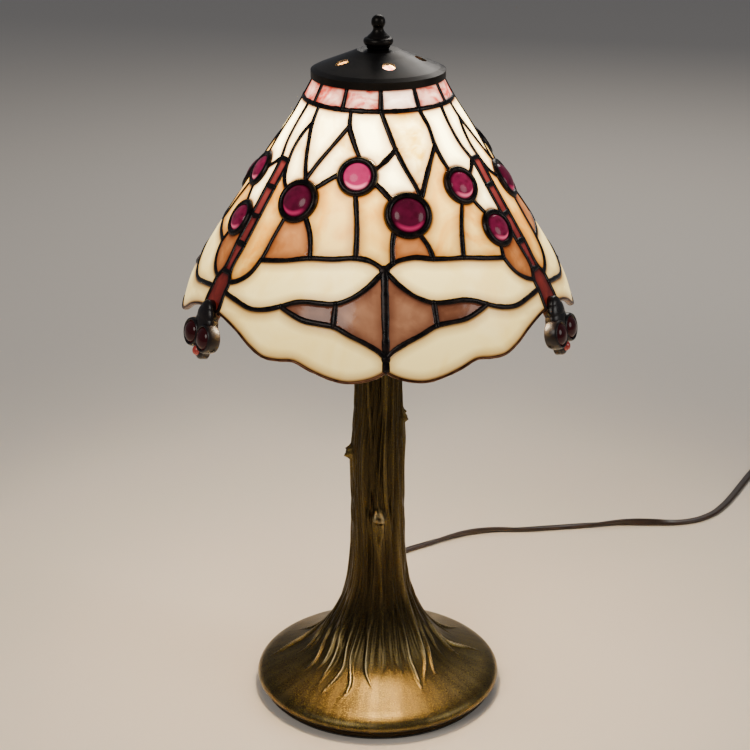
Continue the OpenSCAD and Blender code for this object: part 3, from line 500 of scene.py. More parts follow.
def on_shade(pattern, out=0.0):
    """Points in metres from pattern points, out mm beyond the glass's outer face."""
    pattern = np.asarray(pattern, float)
    turn, height = np.radians(pattern[..., 0] + seam_turn), pattern[..., 1]
    reach = shade_radius(height) + out
    return np.stack([reach * np.sin(turn), -reach * np.cos(turn), height], axis=-1) / 1000


def outward(pattern):
    """The direction square to the glass at pattern points."""
    pattern = np.asarray(pattern, float)
    turn, lean_back = np.radians(pattern[..., 0] + seam_turn), slope(pattern[..., 1])
    return np.stack([np.cos(lean_back) * np.sin(turn), -np.cos(lean_back) * np.cos(turn),
                     np.sin(lean_back)], axis=-1)


def rim_point(jewel, k):
    """Point k of the 16 round a jewel's solder, from the +azimuth side and turning up."""
    azimuth, height, radius = jewel_places[jewel]
    turn = math.radians(22.5 * k)
    at = height + (radius + rim_width) * math.sin(turn) * math.cos(math.radians(jewel_lean))
    reach = np.interp(at, *shade_profile.T)
    return (azimuth + math.degrees((radius + rim_width) * math.cos(turn) / reach), at)


def rim(jewel, a, b):
    """The jewel's rim from point a to point b."""
    return [rim_point(jewel, k) for k in range(a, b + (1 if b > a else -1), 1 if b > a else -1)]


def band_line(a, b):
    """The band's lower line from one azimuth to another, every 7.5 degrees."""
    return [(a + 7.5 * k * (1 if b > a else -1), band_low) for k in range(int(abs(b - a) / 7.5) + 1)]


def turned(point):
    return (point[0] + third_turn, point[1])


def mirrored(points):
    return [(-a, h) for a, h in reversed(points)]


def tail_side(height, side, half=4.5):
    """A point on the side of a dragonfly's tail: side 1 is left of this one's, -1 right of the
    last one's."""
    return (side * (tail_azimuth - math.degrees(half / np.interp(height, *shade_profile.T))), height)


tail_heights = (379.5, 364.5, 348.5, 332, 316)
tail_left = [tail_side(h, 1) for h in tail_heights]
tail_right = [tail_side(h, -1) for h in tail_heights]
foot_a, fork_a = (-52.5, band_low), (-51.5, 402)
lead_a, lead_b = [(-55.5, 396), (-57.3, 388)], [(-47.5, 392), (-44, 383)]
foot_b, fork_b, lead_c, lead_c2 = (-22.5, band_low), (-21.5, 403.5), [(-29.5, 392.5), (-36, 381.5)], (-17.5, 396)
foot_d, bend_d, fork_d = (0, band_low), (4.5, 401), (8, 391.5)
lead_d, lead_e = [(12, 381.5), (15.5, 373)], (1.5, 385.5)
foot_f, bend_f, fork_f = (30, band_low), (33, 402), (33, 392)
lead_f, lead_g = [(27, 384), (21.5, 374.5)], (34, 385.5)
foot_h, lead_h = (52.5, band_low), [(51.5, 401), (52.5, 390)]
link_1, link_2, link_3, link_4 = (-54, 372.5), (-27.5, 374), (0, 370.5), (52, 376)
drop_1l, drop_1r, drop_2 = (-44.5, 341), (-29, 346), (-10.5, 352)
drop_3l, drop_3r, drop_4 = (3, 341.5), (16.5, 341), (32.5, 349)
w1, w2, w3, star, w4 = (-46, 328), (-26.5, 334), (-10, 336), (0, 330), (3, 333.5)
w5, w6, w7 = (17.5, 334.5), (29, 333), (46, 328)
top_l = [(-5, 334.8), w3, (-18, 334.8), w2, (-36, 330.8), w1]
top_r = [w7, (37.5, 330.5), w6, (23, 333.8), w5, (10, 336), w4]
wing_end, root = [(48.5, 319.5), (52, 314.5), (56, 311.5)], (56, 306)
between, fork_w = [(50, 304.5), (42.5, 302.8), (37, 304.5)], (32.5, 307.5)
bar_top, bar_up = [(28, 310.8), (24.5, 312), (20, 312)], (15, 312.5)
bar_bottom, bar_down = [(29, 305), (24, 302.2), (19, 301.5)], (15, 300.7)
diamond_top, diamond_bottom = [(10, 316), (5, 322)], [(10, 296.5), (5, 292), (1.5, 287.5)]
tip, hem_mid, chin = (0, 284), (0, 277), (57.5, 287.5)
hem = [(2, 274.5), (6, 271.5), (11, 270.3), (15, 271.8), (20.5, 275.5), (26, 279.5), (30.5, 278.5),
       (35, 278.5), (40, 282.5), (45.5, 288.5), (51, 292.5), (56, 294.5)]

wing_low = diamond_top[::-1] + [bar_up] + bar_top[::-1] + [fork_w] + between[::-1]
lower_wing = [hem_mid, *hem, root, *between, fork_w, *bar_bottom, bar_down, *diamond_bottom, tip]
diamond = [star, (0, 307), tip, *diamond_bottom[::-1], bar_down, bar_up, *diamond_top]
bar = [bar_up, bar_down, *bar_bottom[::-1], fork_w, *bar_top]
outlines = {
    "crown": [
        [foot_a, fork_a, *lead_b, rim_point("J1", 4), *lead_c[::-1], fork_b, *band_line(-22.5, -45)],
        [foot_b, fork_b, lead_c2, *rim("J2", 4, 1), lead_e, fork_d, bend_d, *band_line(0, -15)],
        [foot_d, bend_d, fork_d, *lead_d, rim_point("J3", 2), *lead_f[::-1], fork_f, bend_f,
         *band_line(30, 7.5)],
        [foot_f, bend_f, fork_f, lead_g, *rim("J4", 5, 1), link_4, tail_left[0], *lead_h[::-1],
         *band_line(52.5, 37.5)],
        [foot_h, *lead_h, tail_left[0], turned(tail_right[0]), turned(lead_a[1]), turned(lead_a[0]),
         turned(fork_a), turned(foot_a), (60, band_low)]],
    "shoulder": [
        [fork_a, *lead_a, tail_right[0], link_1, *rim("J1", 7, 4), *lead_b[::-1]],
        [fork_b, *lead_c, *rim("J1", 4, 2), link_2, *rim("J2", 8, 4), lead_c2],
        [fork_d, lead_e, *rim("J2", 1, -1), link_3, *rim("J3", 6, 2), *lead_d[::-1]],
        [tail_left[0], link_4, *rim("J4", 1, -3), *rim("J5", 5, 2), tail_left[2], tail_left[1]]],
    "skirt": [
        [fork_f, *lead_f, *rim("J3", 2, -3), drop_3r, w5, (23, 333.8), w6, drop_4, *rim("J4", 11, 5),
         lead_g],
        [drop_4, w6, (37.5, 330.5), w7, *rim("J5", 11, 5), *rim("J4", 13, 11)],
        [drop_2, w3, (-5, 334.8), star, w4, drop_3l, *rim("J3", 10, 6), link_3, *rim("J2", 15, 12)],
        [*rim("J1", 2, -2), drop_1r, w2, (-18, 334.8), w3, drop_2, *rim("J2", 12, 8), link_2],
        [*tail_right, (-56, 311.5), (-52, 314.5), (-48.5, 319.5), w1, drop_1l, *rim("J1", 11, 7), link_1]],
    "amber": [
        [w7, *wing_end, tail_left[4], tail_left[3], tail_side(338, 1), *rim("J5", 14, 11)],
        [drop_3l, w4, (10, 336), w5, drop_3r, *rim("J3", 13, 10)],
        [drop_1l, w1, (-36, 330.8), w2, drop_1r, *rim("J1", 14, 11)]],
    "upper_wing": [
        [star, *wing_low, root, *wing_end[::-1], *top_r],
        [star, *top_l, *[(-a, h) for a, h in wing_end], (-56, 306), *mirrored(wing_low)]],
    "lower_wing": [lower_wing, mirrored(lower_wing)],
    "diamond": [diamond, mirrored(diamond)],
    "bar": [bar, mirrored(bar)],
    "tail": [[tail_left[k], tail_left[k + 1], turned(tail_right[k + 1]), turned(tail_right[k])]
             for k in range(4)],
    "thorax": [[tail_left[4], (56, 311.5), root, (56, 294.5), chin, (62.5, 287.5), (64, 294.5), (64, 306),
                (64, 311.5), turned(tail_right[4])]],
    "band": [[(a, band_high), *[(a + 7.5 * k, band_low) for k in range(5)],
              *[(a + 7.5 * k, band_high) for k in range(4, 0, -1)]] for a in (-60, -30, 0, 30)]}

# The leads between the panes are found from the outlines: a lead runs from one meeting point to
# the next, and is drawn as one smooth curve that both its panes follow. At a meeting point it
# goes straight on into the lead that lies most in line with it.
degree_width = 1.75


def spot(point):
    """The same name for a point and for its copies in the other two thirds."""
    return (round(point[0] % third_turn, 2) % third_turn, round(point[1], 2))


def apart(a, b):
    """From spot a to spot b the short way round, in degrees and mm."""
    return np.array([(b[0] - a[0] + third_turn / 2) % third_turn - third_turn / 2, b[1] - a[1]])


sides_seen, neighbours = {}, {}
for group in outlines.values():
    for outline in group:
        for a, b in zip(outline, outline[1:] + outline[:1]):
            a, b = spot(a), spot(b)
            sides_seen[frozenset((a, b))] = sides_seen.get(frozenset((a, b)), 0) + 1
            neighbours.setdefault(a, set()).add(b)
            neighbours.setdefault(b, set()).add(a)
rims = [frozenset(spot(rim_point(name, k)) for k in range(16)) for name in jewel_places]
meeting = {a for a, near in neighbours.items() if len(near) != 2}
meeting |= {spot(star), spot(tip)}
leads, walked = [], set()
for a in sorted(meeting):
    for b in sorted(neighbours[a]):
        if (a, b) in walked:
            continue
        lead = [a, b]
        while lead[-1] not in meeting:
            lead.append(next(n for n in sorted(neighbours[lead[-1]]) if n != lead[-2]))
        walked |= {(lead[0], lead[1]), (lead[-1], lead[-2])}
        leads.append(lead)


def straight_on(a, b):
    """The spot beyond a that best continues the lead coming from b, or None past 35 degrees."""
    way = apart(b, a) * (degree_width, 1)
    best, fit = None, math.cos(math.radians(35))
    for n in sorted(neighbours[a] - {b}):
        on = apart(a, n) * (degree_width, 1)
        match = way @ on / np.linalg.norm(way) / np.linalg.norm(on)
        if match > fit:
            best, fit = n, match
    return best


lead_curves, side_curves = [], {}
for lead in leads:
    flat = np.cumsum([np.zeros(2)] + [apart(a, b) for a, b in zip(lead, lead[1:])], axis=0)
    before, after = straight_on(lead[0], lead[1]), straight_on(lead[-1], lead[-2])
    before = None if before is None else apart(lead[0], before) * (degree_width, 1)
    after = None if after is None else (flat[-1] + apart(lead[-1], after)) * (degree_width, 1)
    if all(h == band_low or h == band_high for _, h in lead):
        before = after = None
    curve = through(flat * (degree_width, 1), 1.5, before, after) / (degree_width, 1)
    lead_curves.append((np.array(lead[0]) + curve, lead))
    ends = [int(np.argmin(np.linalg.norm((curve - p) * (degree_width, 1), axis=1))) for p in flat]
    for a, b, first, last in zip(lead, lead[1:], ends, ends[1:]):
        piece = curve[first:last + 1]
        side_curves[(a, b)] = piece - piece[0]
        side_curves[(b, a)] = piece[::-1] - piece[-1]


def smooth_outline(outline):
    """The pane's edge with each side replaced by its lead's curve, as degrees and mm."""
    sides = [np.array(a) + side_curves[(spot(a), spot(b))][:-1]
             for a, b in zip(outline, outline[1:] + outline[:1])]
    return np.vstack(sides)


# The glass: each pane is cut from opalescent sheet, ground to shape and edged with foil. The
# sheet has pale swirls and a rippled face. Its glow is painted light from the bulb behind it,
# and it goes dark near its leads with painted shade, as the leads shade it inside.
pane_inset, grid_step = 0.9, 3.2


def moved_in(line, distance):
    """A closed flat outline in mm moved to its left, mitred at each point."""
    ahead = np.roll(line, -1, axis=0) - line
    ahead /= np.linalg.norm(ahead, axis=1, keepdims=True)
    left = np.column_stack([-ahead[:, 1], ahead[:, 0]])
    both = np.roll(left, 1, axis=0) + left
    return line + both * distance / np.maximum(0.5, 1 + np.sum(np.roll(left, 1, axis=0) * left, axis=1))[:, None]


def gap_to(points, line):
    """Distance from each point to a closed outline."""
    a, b = line, np.roll(line, -1, axis=0)
    along = np.clip(np.sum((points[:, None] - a) * (b - a), axis=2) / np.sum((b - a) ** 2, axis=1), 0, 1)
    return np.min(np.linalg.norm(points[:, None] - a - along[..., None] * (b - a), axis=2), axis=1)


def inside(points, line):
    """True for points within a closed outline, by the crossings of a level ray."""
    a, b = line, np.roll(line, -1, axis=0)
    x, y = points[:, :1], points[:, 1:]
    crosses = (a[:, 1] > y) != (b[:, 1] > y)
    rise = np.where(np.abs(b[:, 1] - a[:, 1]) < 1e-9, 1e-9, b[:, 1] - a[:, 1])
    return np.sum(crosses & (x < (b[:, 0] - a[:, 0]) * (y - a[:, 1]) / rise + a[:, 0]), axis=1) % 2 == 1


def pane_sheet(outline):
    """One bent pane: its flat outline is filled with triangles through a grid of inner points,
    laid on the shade, and given its thickness. Returns points, faces and each point's gap to
    the lead in mm."""
    edge = smooth_outline(outline)
    middle_height = edge[:, 1].mean()
    stretch = np.array([math.radians(1) * shade_radius(middle_height), 1 / math.cos(slope(middle_height))])
    flat = edge * stretch
    cut = moved_in(flat, pane_inset)
    rows = [moved_in(flat, pane_inset + deep)[::2] for deep in (1.3, 2.8)]
    xs = np.arange(cut[:, 0].min(), cut[:, 0].max(), grid_step)
    ys = np.arange(cut[:, 1].min(), cut[:, 1].max(), grid_step)
    grid = np.stack(np.meshgrid(xs, ys), axis=-1).reshape(-1, 2)
    extra = np.vstack([rows[0][inside(rows[0], cut)], rows[1][inside(rows[1], cut)], grid[inside(grid, cut)]])
    far = gap_to(extra, cut)
    keep = far > 0.7
    keep[sum(len(r[inside(r, cut)]) for r in rows):] &= far[sum(len(r[inside(r, cut)]) for r in rows):] > 3.6
    extra = extra[keep]
    sides = [(k, (k + 1) % len(cut)) for k in range(len(cut))]
    found = mathutils.geometry.delaunay_2d_cdt(
        [mathutils.Vector(p) for p in np.vstack([cut, extra])], sides, [], 1, 1e-5)
    spots, triangles = np.array([tuple(v) for v in found[0]]), np.array(found[2])
    a, b, c = (spots[triangles[:, k]] for k in range(3))
    area = (b[:, 0] - a[:, 0]) * (c[:, 1] - a[:, 1]) - (b[:, 1] - a[:, 1]) * (c[:, 0] - a[:, 0])
    triangles = np.where((area < 0)[:, None], triangles[:, ::-1], triangles)[np.abs(area) > 1e-9]
    half_edges = np.vstack([triangles[:, [0, 1]], triangles[:, [1, 2]], triangles[:, [2, 0]]])
    count = len(spots)
    names, times = np.unique(np.sort(half_edges, axis=1) @ [count, 1], return_counts=True)
    lone = half_edges[np.isin(np.sort(half_edges, axis=1) @ [count, 1], names[times == 1])]
    walls = np.column_stack([lone[:, 1], lone[:, 0], lone[:, 0] + count, lone[:, 1] + count])
    on_pattern = spots / stretch
    lead_gap = gap_to(spots, cut)
    points = np.vstack([on_shade(on_pattern), on_shade(on_pattern, -glass_thick)])
    faces = triangles.tolist() + (triangles[:, ::-1] + count).tolist() + walls.tolist()
    return points, faces, np.tile(lead_gap, 2)


def third(points, k):
    """Points turned by k thirds of a circle about the lamp's axis."""
    c, s = math.cos(k * 2 * math.pi / 3), math.sin(k * 2 * math.pi / 3)
    return points @ np.array([[c, s, 0], [-s, c, 0], [0, 0, 1]])


def opal_group():
    """Colours of lit opalescent glass. Base is the sheet's own colour with its streaks; Glow is
    painted light, an emission colour for the bulb shining through: that colour, less bright
    further from the bulb, and with painted shade near the leads."""
    group = bpy.data.node_groups.new("opal_glass", "ShaderNodeTree")
    face = group.interface
    for name, kind, default in (("Pale", "NodeSocketColor", (1, 1, 1, 1)),
                                ("Streak", "NodeSocketColor", (1, 0.8, 0.5, 1)),
                                ("Lead Shade", "NodeSocketColor", (0.3, 0.1, 0.05, 1)), ("Streaks", "NodeSocketFloat", 0.5),
                                ("Swirl Scale", "NodeSocketFloat", 30.0), ("Brightness", "NodeSocketFloat", 1.0)):
        face.new_socket(name, in_out="INPUT", socket_type=kind).default_value = default
    for name, kind in (("Base", "NodeSocketColor"), ("Glow", "NodeSocketColor"), ("Ripple", "NodeSocketFloat")):
        face.new_socket(name, in_out="OUTPUT", socket_type=kind)
    given, out, place, gap, tint, swirl, wisps, ripple, reach, nearness, power, lit = add_nodes(
        group, "NodeGroupInput", "NodeGroupOutput", "ShaderNodeTexCoord", "ShaderNodeAttribute",
        "ShaderNodeAttribute", "ShaderNodeTexNoise", "ShaderNodeTexNoise", "ShaderNodeTexNoise",
        "ShaderNodeVectorMath", "ShaderNodeMath", "ShaderNodeMath", "ShaderNodeMath")
    gap.attribute_name, tint.attribute_name = "lead_gap", "pane_tint"
    pushed = group.nodes.new("ShaderNodeVectorMath")
    pushed.operation = "MULTIPLY_ADD"
    group.links.new(tint.outputs["Fac"], pushed.inputs[0])
    pushed.inputs[1].default_value = (3.1, 1.7, 2.3)
    group.links.new(place.outputs["Object"], pushed.inputs[2])
    for noise, detail, rough, bend in ((swirl, 3, 0.5, 1.6), (wisps, 4, 0.55, 2.4), (ripple, 2, 0.4, 0.6)):
        noise.inputs["Detail"].default_value = detail
        noise.inputs["Roughness"].default_value = rough
        noise.inputs["Distortion"].default_value = bend
        group.links.new(pushed.outputs["Vector"], noise.inputs["Vector"])
    group.links.new(given.outputs["Swirl Scale"], swirl.inputs["Scale"])
    wisps.inputs["Scale"].default_value = 95
    ripple.inputs["Scale"].default_value = 120
    streaky = spanned(group, swirl.outputs["Fac"], 0.42, 0.68)
    shift = group.nodes.new("ShaderNodeMath")
    shift.operation, shift.use_clamp = "MULTIPLY_ADD", True
    group.links.new(streaky, shift.inputs[0])
    group.links.new(given.outputs["Streaks"], shift.inputs[1])
    group.links.new(spanned(group, tint.outputs["Fac"], 0, 1, -0.35, 0.65), shift.inputs[2])
    base = mixed(group, shift.outputs[0], given.outputs["Pale"], given.outputs["Streak"])
    base = mixed(group, spanned(group, wisps.outputs["Fac"], 0.5, 0.8, 0, 0.35), base, given.outputs["Pale"])
    group.links.new(mixed(group, 1.0, base, (0.42, 0.42, 0.42), "MULTIPLY"), out.inputs["Base"])
    # Painted light: the glow is brightest near the bulb and falls off with distance from it.
    reach.operation = "DISTANCE"
    reach.inputs[1].default_value = (0, 0, bulb_middle + 0.012)
    group.links.new(place.outputs["Object"], reach.inputs[0])
    nearness.operation, power.operation, lit.operation = "DIVIDE", "POWER", "MULTIPLY"
    nearness.inputs[0].default_value = 0.078
    group.links.new(reach.outputs["Value"], nearness.inputs[1])
    group.links.new(nearness.outputs[0], power.inputs[0])
    power.inputs[1].default_value = 1.9
    group.links.new(power.outputs[0], lit.inputs[0])
    group.links.new(given.outputs["Brightness"], lit.inputs[1])
    # Painted shade: within 1.6 mm of a lead the glow turns to the given dark colour, and it is dimmed out to 6.5 mm.
    shaded = mixed(group, spanned(group, gap.outputs["Fac"], 0.0, 1.6), given.outputs["Lead Shade"], base)
    shaded = mixed(group, 1.0, shaded, mixed(group, spanned(group, gap.outputs["Fac"], 0.3, 6.5),
                                             (0.36, 0.25, 0.22), (1.0, 1.0, 1.0)), "MULTIPLY")
    scaled = group.nodes.new("ShaderNodeVectorMath")
    scaled.operation = "SCALE"
    group.links.new(shaded, scaled.inputs[0])
    group.links.new(lit.outputs[0], scaled.inputs["Scale"])
    group.links.new(scaled.outputs["Vector"], out.inputs["Glow"])
    group.links.new(ripple.outputs["Fac"], out.inputs["Ripple"])
    return group


opal_glass = opal_group()


def glass_material(name, pale, streak, deep, streaks=0.5, swirl=30.0, brightness=1.0, glow=1.0, ripple=0.0006):
    """Polished opalescent sheet in one maker's colour, with its light from behind painted in as an emission glow."""
    material = plain_material(name, pale, 0.16, Emission_Strength=glow, Specular_IOR_Level=0.35, Coat_Weight=0.12,
                              Coat_Roughness=0.06)
    tree = material.node_tree
    look = tree.nodes["Principled BSDF"]
    sheet, relief = add_nodes(tree, "ShaderNodeGroup", "ShaderNodeBump")
    sheet.node_tree = opal_glass
    for key, value in (("Pale", (*pale, 1)), ("Streak", (*streak, 1)), ("Lead Shade", (*deep, 1)), ("Streaks", streaks),
                       ("Swirl Scale", swirl), ("Brightness", brightness)):
        sheet.inputs[key].default_value = value
    relief.inputs["Strength"].default_value, relief.inputs["Distance"].default_value = 0.35, ripple
    tree.links.new(sheet.outputs["Base"], look.inputs["Base Color"])
    tree.links.new(sheet.outputs["Glow"], look.inputs["Emission Color"])
    tree.links.new(sheet.outputs["Ripple"], relief.inputs["Height"])
    tree.links.new(relief.outputs["Normal"], look.inputs["Normal"])
    return material


# Each glass: its pale and streak colours, the painted shade colour next to its leads, how streaky it is, its swirl
# scale and its painted glow's brightness.
cream = glass_material("cream_opal", (1.0, 0.83, 0.38), (0.46, 0.25, 0.016), (0.10, 0.02, 0.004), 0.5, 26, 8.0)
peach = glass_material("peach_opal", (0.66, 0.40, 0.080), (0.52, 0.20, 0.012), (0.08, 0.02, 0.004), 0.8, 28, 6.2)
tan = glass_material("tan_opal", (0.60, 0.23, 0.060), (0.38, 0.11, 0.018), (0.06, 0.012, 0.003), 0.8, 34, 3.0)
ivory = glass_material("ivory_opal", (0.60, 0.45, 0.15), (0.52, 0.33, 0.060), (0.08, 0.025, 0.008), 0.6, 22, 9.5)
mauve = glass_material("mauve_opal", (0.23, 0.098, 0.046), (0.13, 0.048, 0.022), (0.04, 0.010, 0.004), 0.8, 32, 5.0)
salmon = glass_material("salmon_opal", (1.0, 0.76, 0.54), (0.42, 0.055, 0.034), (0.09, 0.01, 0.005), 0.6, 60, 4.5)
rose = glass_material("rose_glass", (0.50, 0.075, 0.060), (0.26, 0.026, 0.022), (0.08, 0.006, 0.006), 0.8, 60, 1.3)
oxblood = glass_material("oxblood_glass", (0.20, 0.022, 0.014), (0.10, 0.010, 0.007), (0.03, 0.004, 0.003),
                         0.8, 60, 2.4)
# How streaky each pane's piece of the sheet is, from 0 for pale, in the order of the outlines
pane_tints = {"crown": (0.30, 0.12, 0.85, 0.05, 0.35), "shoulder": (0.60, 0.70, 0.15, 0.15),
              "skirt": (0.40, 0.45, 0.35, 0.30, 0.70), "amber": (0.75, 0.45, 0.40), "upper_wing": (0.3, 0.25),
              "lower_wing": (0.2, 0.3), "diamond": (0.35, 0.3), "bar": (0.9, 0.8), "tail": (0.2, 0.3, 0.5, 0.6),
              "thorax": (0.3,), "band": (1.15, 0.85, 0.25, 0.95)}
for group, finish, slot_name, cad_node in (
        ("crown", cream, "cream_glass", "crown_glass"), ("shoulder", cream, "cream_glass", "shoulder_glass"),
        ("skirt", peach, "peach_glass", "skirt_glass"), ("amber", tan, "amber_glass", "amber_glass"),
        ("upper_wing", ivory, "wing_glass", "upper_wings"), ("lower_wing", ivory, "wing_glass", "lower_wings"),
        ("diamond", mauve, "mauve_glass", "diamond_glass"), ("bar", mauve, "mauve_glass", "bar_glass"),
        ("tail", rose, "red_glass", "tail_glass"), ("thorax", oxblood, "dark_red_glass", "thorax_glass"),
        ("band", salmon, "pink_glass", "band_glass")):
    points, faces, gaps, tint = [], [], [], []
    for outline, streaky in zip(outlines[group], pane_tints[group]):
        sheet, flat_faces, gap = pane_sheet(outline)
        for k in range(3):
            start = sum(len(p) for p in points)
            faces += [[start + v for v in face] for face in flat_faces]
            points.append(third(sheet, k))
            gaps.append(gap)
            tint.append(np.full(len(sheet), streaky + 0.04 * k))
    new_piece(f"{group}_panes", np.vstack(points), faces, finish, "shade", slot_name, (cad_node,),
              {"lead_gap": np.concatenate(gaps), "pane_tint": np.concatenate(tint)})

# The leading: copper foil and solder run along every joint, rounded and a little uneven where
# it was drawn by hand, with a blob at each meeting point, then blackened with patina.
solder_black = plain_material("solder_black", (0.008, 0.005, 0.004), 0.3, 0.55)
tree = solder_black.node_tree
look = tree.nodes["Principled BSDF"]
place, mottle, relief = add_nodes(tree, "ShaderNodeTexCoord", "ShaderNodeTexNoise", "ShaderNodeBump")
mottle.inputs["Scale"].default_value, mottle.inputs["Detail"].default_value = 240, 3
tree.links.new(place.outputs["Object"], mottle.inputs["Vector"])
patina = mixed(tree, spanned(tree, mottle.outputs["Fac"], 0.4, 0.7), (0.006, 0.004, 0.0035), (0.022, 0.010, 0.007))
tree.links.new(patina, look.inputs["Base Color"])
tree.links.new(spanned(tree, mottle.outputs["Fac"], 0.3, 0.7, 0.22, 0.46), look.inputs["Roughness"])
tree.links.new(mottle.outputs["Fac"], relief.inputs["Height"])
relief.inputs["Strength"].default_value, relief.inputs["Distance"].default_value = 0.5, 0.0006
tree.links.new(relief.outputs["Normal"], look.inputs["Normal"])
copper_edge = varied(plain_material("copper_edge", (0.2, 0.08, 0.04), 0.34, 0.9), (0.05, 0.018, 0.010),
                     (0.20, 0.09, 0.045), 200, rough=(0.25, 0.45), bump=0.0002)
bead_half, hem_half, seam_half, bead_proud = 2.0, 1.1, 2.8, 0.8
bead_angle = np.linspace(0, 2 * math.pi, 12, endpoint=False)


def bead(curve, half, seed):
    """A rounded bead of solder along a lead: an oval half mm to each side that wraps the glass,
    its width wandering by a tenth."""
    path = on_shade(curve, -glass_thick / 2)
    wobble = np.random.default_rng(seed).normal(0, 0.10, len(path) + 8)
    wobble = 1 + np.convolve(wobble, np.ones(5) / 2.2, "same")[4:-4] * 0.9
    deep = glass_thick / 2 * np.cos(slope(curve[:, 1])) + bead_proud
    shape = np.stack([np.outer(half * wobble, np.cos(bead_angle)), np.outer(deep, np.sin(bead_angle))], axis=-1)
    return swept(path, shape / 1000, outward(curve))


bead_points, bead_faces = {"bead": [], "hem": []}, {"bead": [], "hem": []}
for number, (curve, lead) in enumerate(lead_curves):
    pair = frozenset(lead[:2])
    if any(set(lead[:2]) <= r for r in rims) and sides_seen[pair] == 1:
        continue
    edge = sides_seen[pair] == 1 and max(h for _, h in lead) < 300
    on_seam = all(a in (0, 120) and h < 335 for a, h in lead)
    kind = "hem" if edge else "bead"
    points, faces = bead(curve, hem_half if edge else seam_half if on_seam else bead_half, number)
    for k in range(3):
        start = sum(len(p) for p in bead_points[kind])
        bead_faces[kind] += [[start + v for v in face] for face in faces]
        bead_points[kind].append(third(points, k))
blob_turn, blob_rise = np.linspace(0, 2 * math.pi, 14, endpoint=False), np.linspace(-1.5, 1.5, 9)
for a in sorted(meeting):
    near_rim = any(a in r for r in rims)
    size = (4.0 if a == spot(star) else 3.4 if a == spot(tip) else 2.2) * (0.8 if near_rim else 1)
    middle, away = on_shade(a, -glass_thick / 2), outward(a)
    level = np.cross((0, 0, 1), away)
    level /= np.linalg.norm(level)
    upward = np.cross(away, level)
    deep = glass_thick / 2 * math.cos(slope(a[1])) + bead_proud + 0.1
    ball = (middle + (np.outer(np.cos(blob_rise), np.cos(blob_turn))[..., None] * size * level
                      + np.outer(np.cos(blob_rise), np.sin(blob_turn))[..., None] * size * upward
                      + np.repeat(np.sin(blob_rise)[:, None], 14, axis=1)[..., None] * deep * away) / 1000)
    for k in range(3):
        start = sum(len(p) for p in bead_points["bead"])
        bead_faces["bead"] += tube_faces(len(blob_rise), 14, start)
        bead_points["bead"].append(third(ball.reshape(-1, 3), k))
new_piece("solder_beads", np.vstack(bead_points["bead"]), bead_faces["bead"], solder_black, "shade", "solder",
          ("solder_lattice",))
new_piece("hem_edge", np.vstack(bead_points["hem"]), bead_faces["hem"], copper_edge, "shade", "solder",
          ("solder_lattice",))

# The jewels: pressed glass cabochons, clear purple and faceted behind, each in a ring of solder.
# Their glow is painted light for the bulb shining through them: brighter in some jewels than
# others, brighter on a crescent at the lower edge, and dark round the rim with painted shade.
jewel_glass = plain_material("jewel_glass", (0.20, 0.012, 0.06), 0.16, Emission_Strength=1.0, Specular_IOR_Level=0.25,
                             Coat_Weight=0.12, Coat_Roughness=0.05)
tree = jewel_glass.node_tree
look = tree.nodes["Principled BSDF"]
place, rim_shade_mask, light, low, facets, haze = add_nodes(
    tree, "ShaderNodeTexCoord", *["ShaderNodeAttribute"] * 3, "ShaderNodeTexVoronoi", "ShaderNodeTexNoise")
rim_shade_mask.attribute_name, light.attribute_name, low.attribute_name = "jewel_edge", "jewel_light", "jewel_low"
facets.inputs["Scale"].default_value, haze.inputs["Scale"].default_value = 260, 190
haze.inputs["Detail"].default_value = 3
tree.links.new(place.outputs["Object"], facets.inputs["Vector"])
tree.links.new(place.outputs["Object"], haze.inputs["Vector"])
core = mixed(tree, spanned(tree, haze.outputs["Fac"], 0.35, 0.7), (0.15, 0.0010, 0.018), (0.50, 0.012, 0.085))
core = mixed(tree, spanned(tree, facets.outputs["Distance"], 0.0, 0.6, 0.0, 0.4), core, (0.80, 0.04, 0.19))
# Painted light: each jewel's glow runs from near black up to its colour, and paler still at the brightest, by its
# jewel_light number.
lit = mixed(tree, spanned(tree, light.outputs["Fac"], 0.0, 1.0), (0.020, 0.0003, 0.004), core)
pale = mixed(tree, spanned(tree, light.outputs["Fac"], 0.72, 1.0, 0.0, 0.45), lit, (1.35, 0.07, 0.30))
# Painted light: a brighter crescent of glow on each jewel's lower edge.
painted_crescent = mixed(tree, spanned(tree, low.outputs["Fac"], 0.35, 0.72), pale,
                 mixed(tree, spanned(tree, light.outputs["Fac"], 0.2, 1.0), (0.55, 0.020, 0.11), (2.6, 0.50, 0.75)))
# Painted shade: the glow goes dark round each jewel's rim.
ringed = mixed(tree, spanned(tree, rim_shade_mask.outputs["Fac"], 0.86, 1.0), painted_crescent, (0.02, 0.0006, 0.004))
tree.links.new(ringed, look.inputs["Emission Color"])
tree.links.new(mixed(tree, spanned(tree, haze.outputs["Fac"], 0.35, 0.7), (0.020, 0.001, 0.006), (0.06, 0.003, 0.017)),
               look.inputs["Base Color"])
dome_lift, dome_turn = np.linspace(0, 1, 14), np.linspace(0, 2 * math.pi, 48, endpoint=False)


def set_in_glass(place, points):
    """Points in mm on a flat bed, x level, y up the slope and z out, moved to a place on the
    shade: its azimuth and height."""
    spot_at = np.array(place[:2], float)
    away = outward(spot_at)
    level = np.cross((0, 0, 1), away)
    level /= np.linalg.norm(level)
    upward = np.cross(away, level)
    return on_shade(spot_at) + (points[..., :1] * level + points[..., 1:2] * upward + points[..., 2:] * away) / 1000


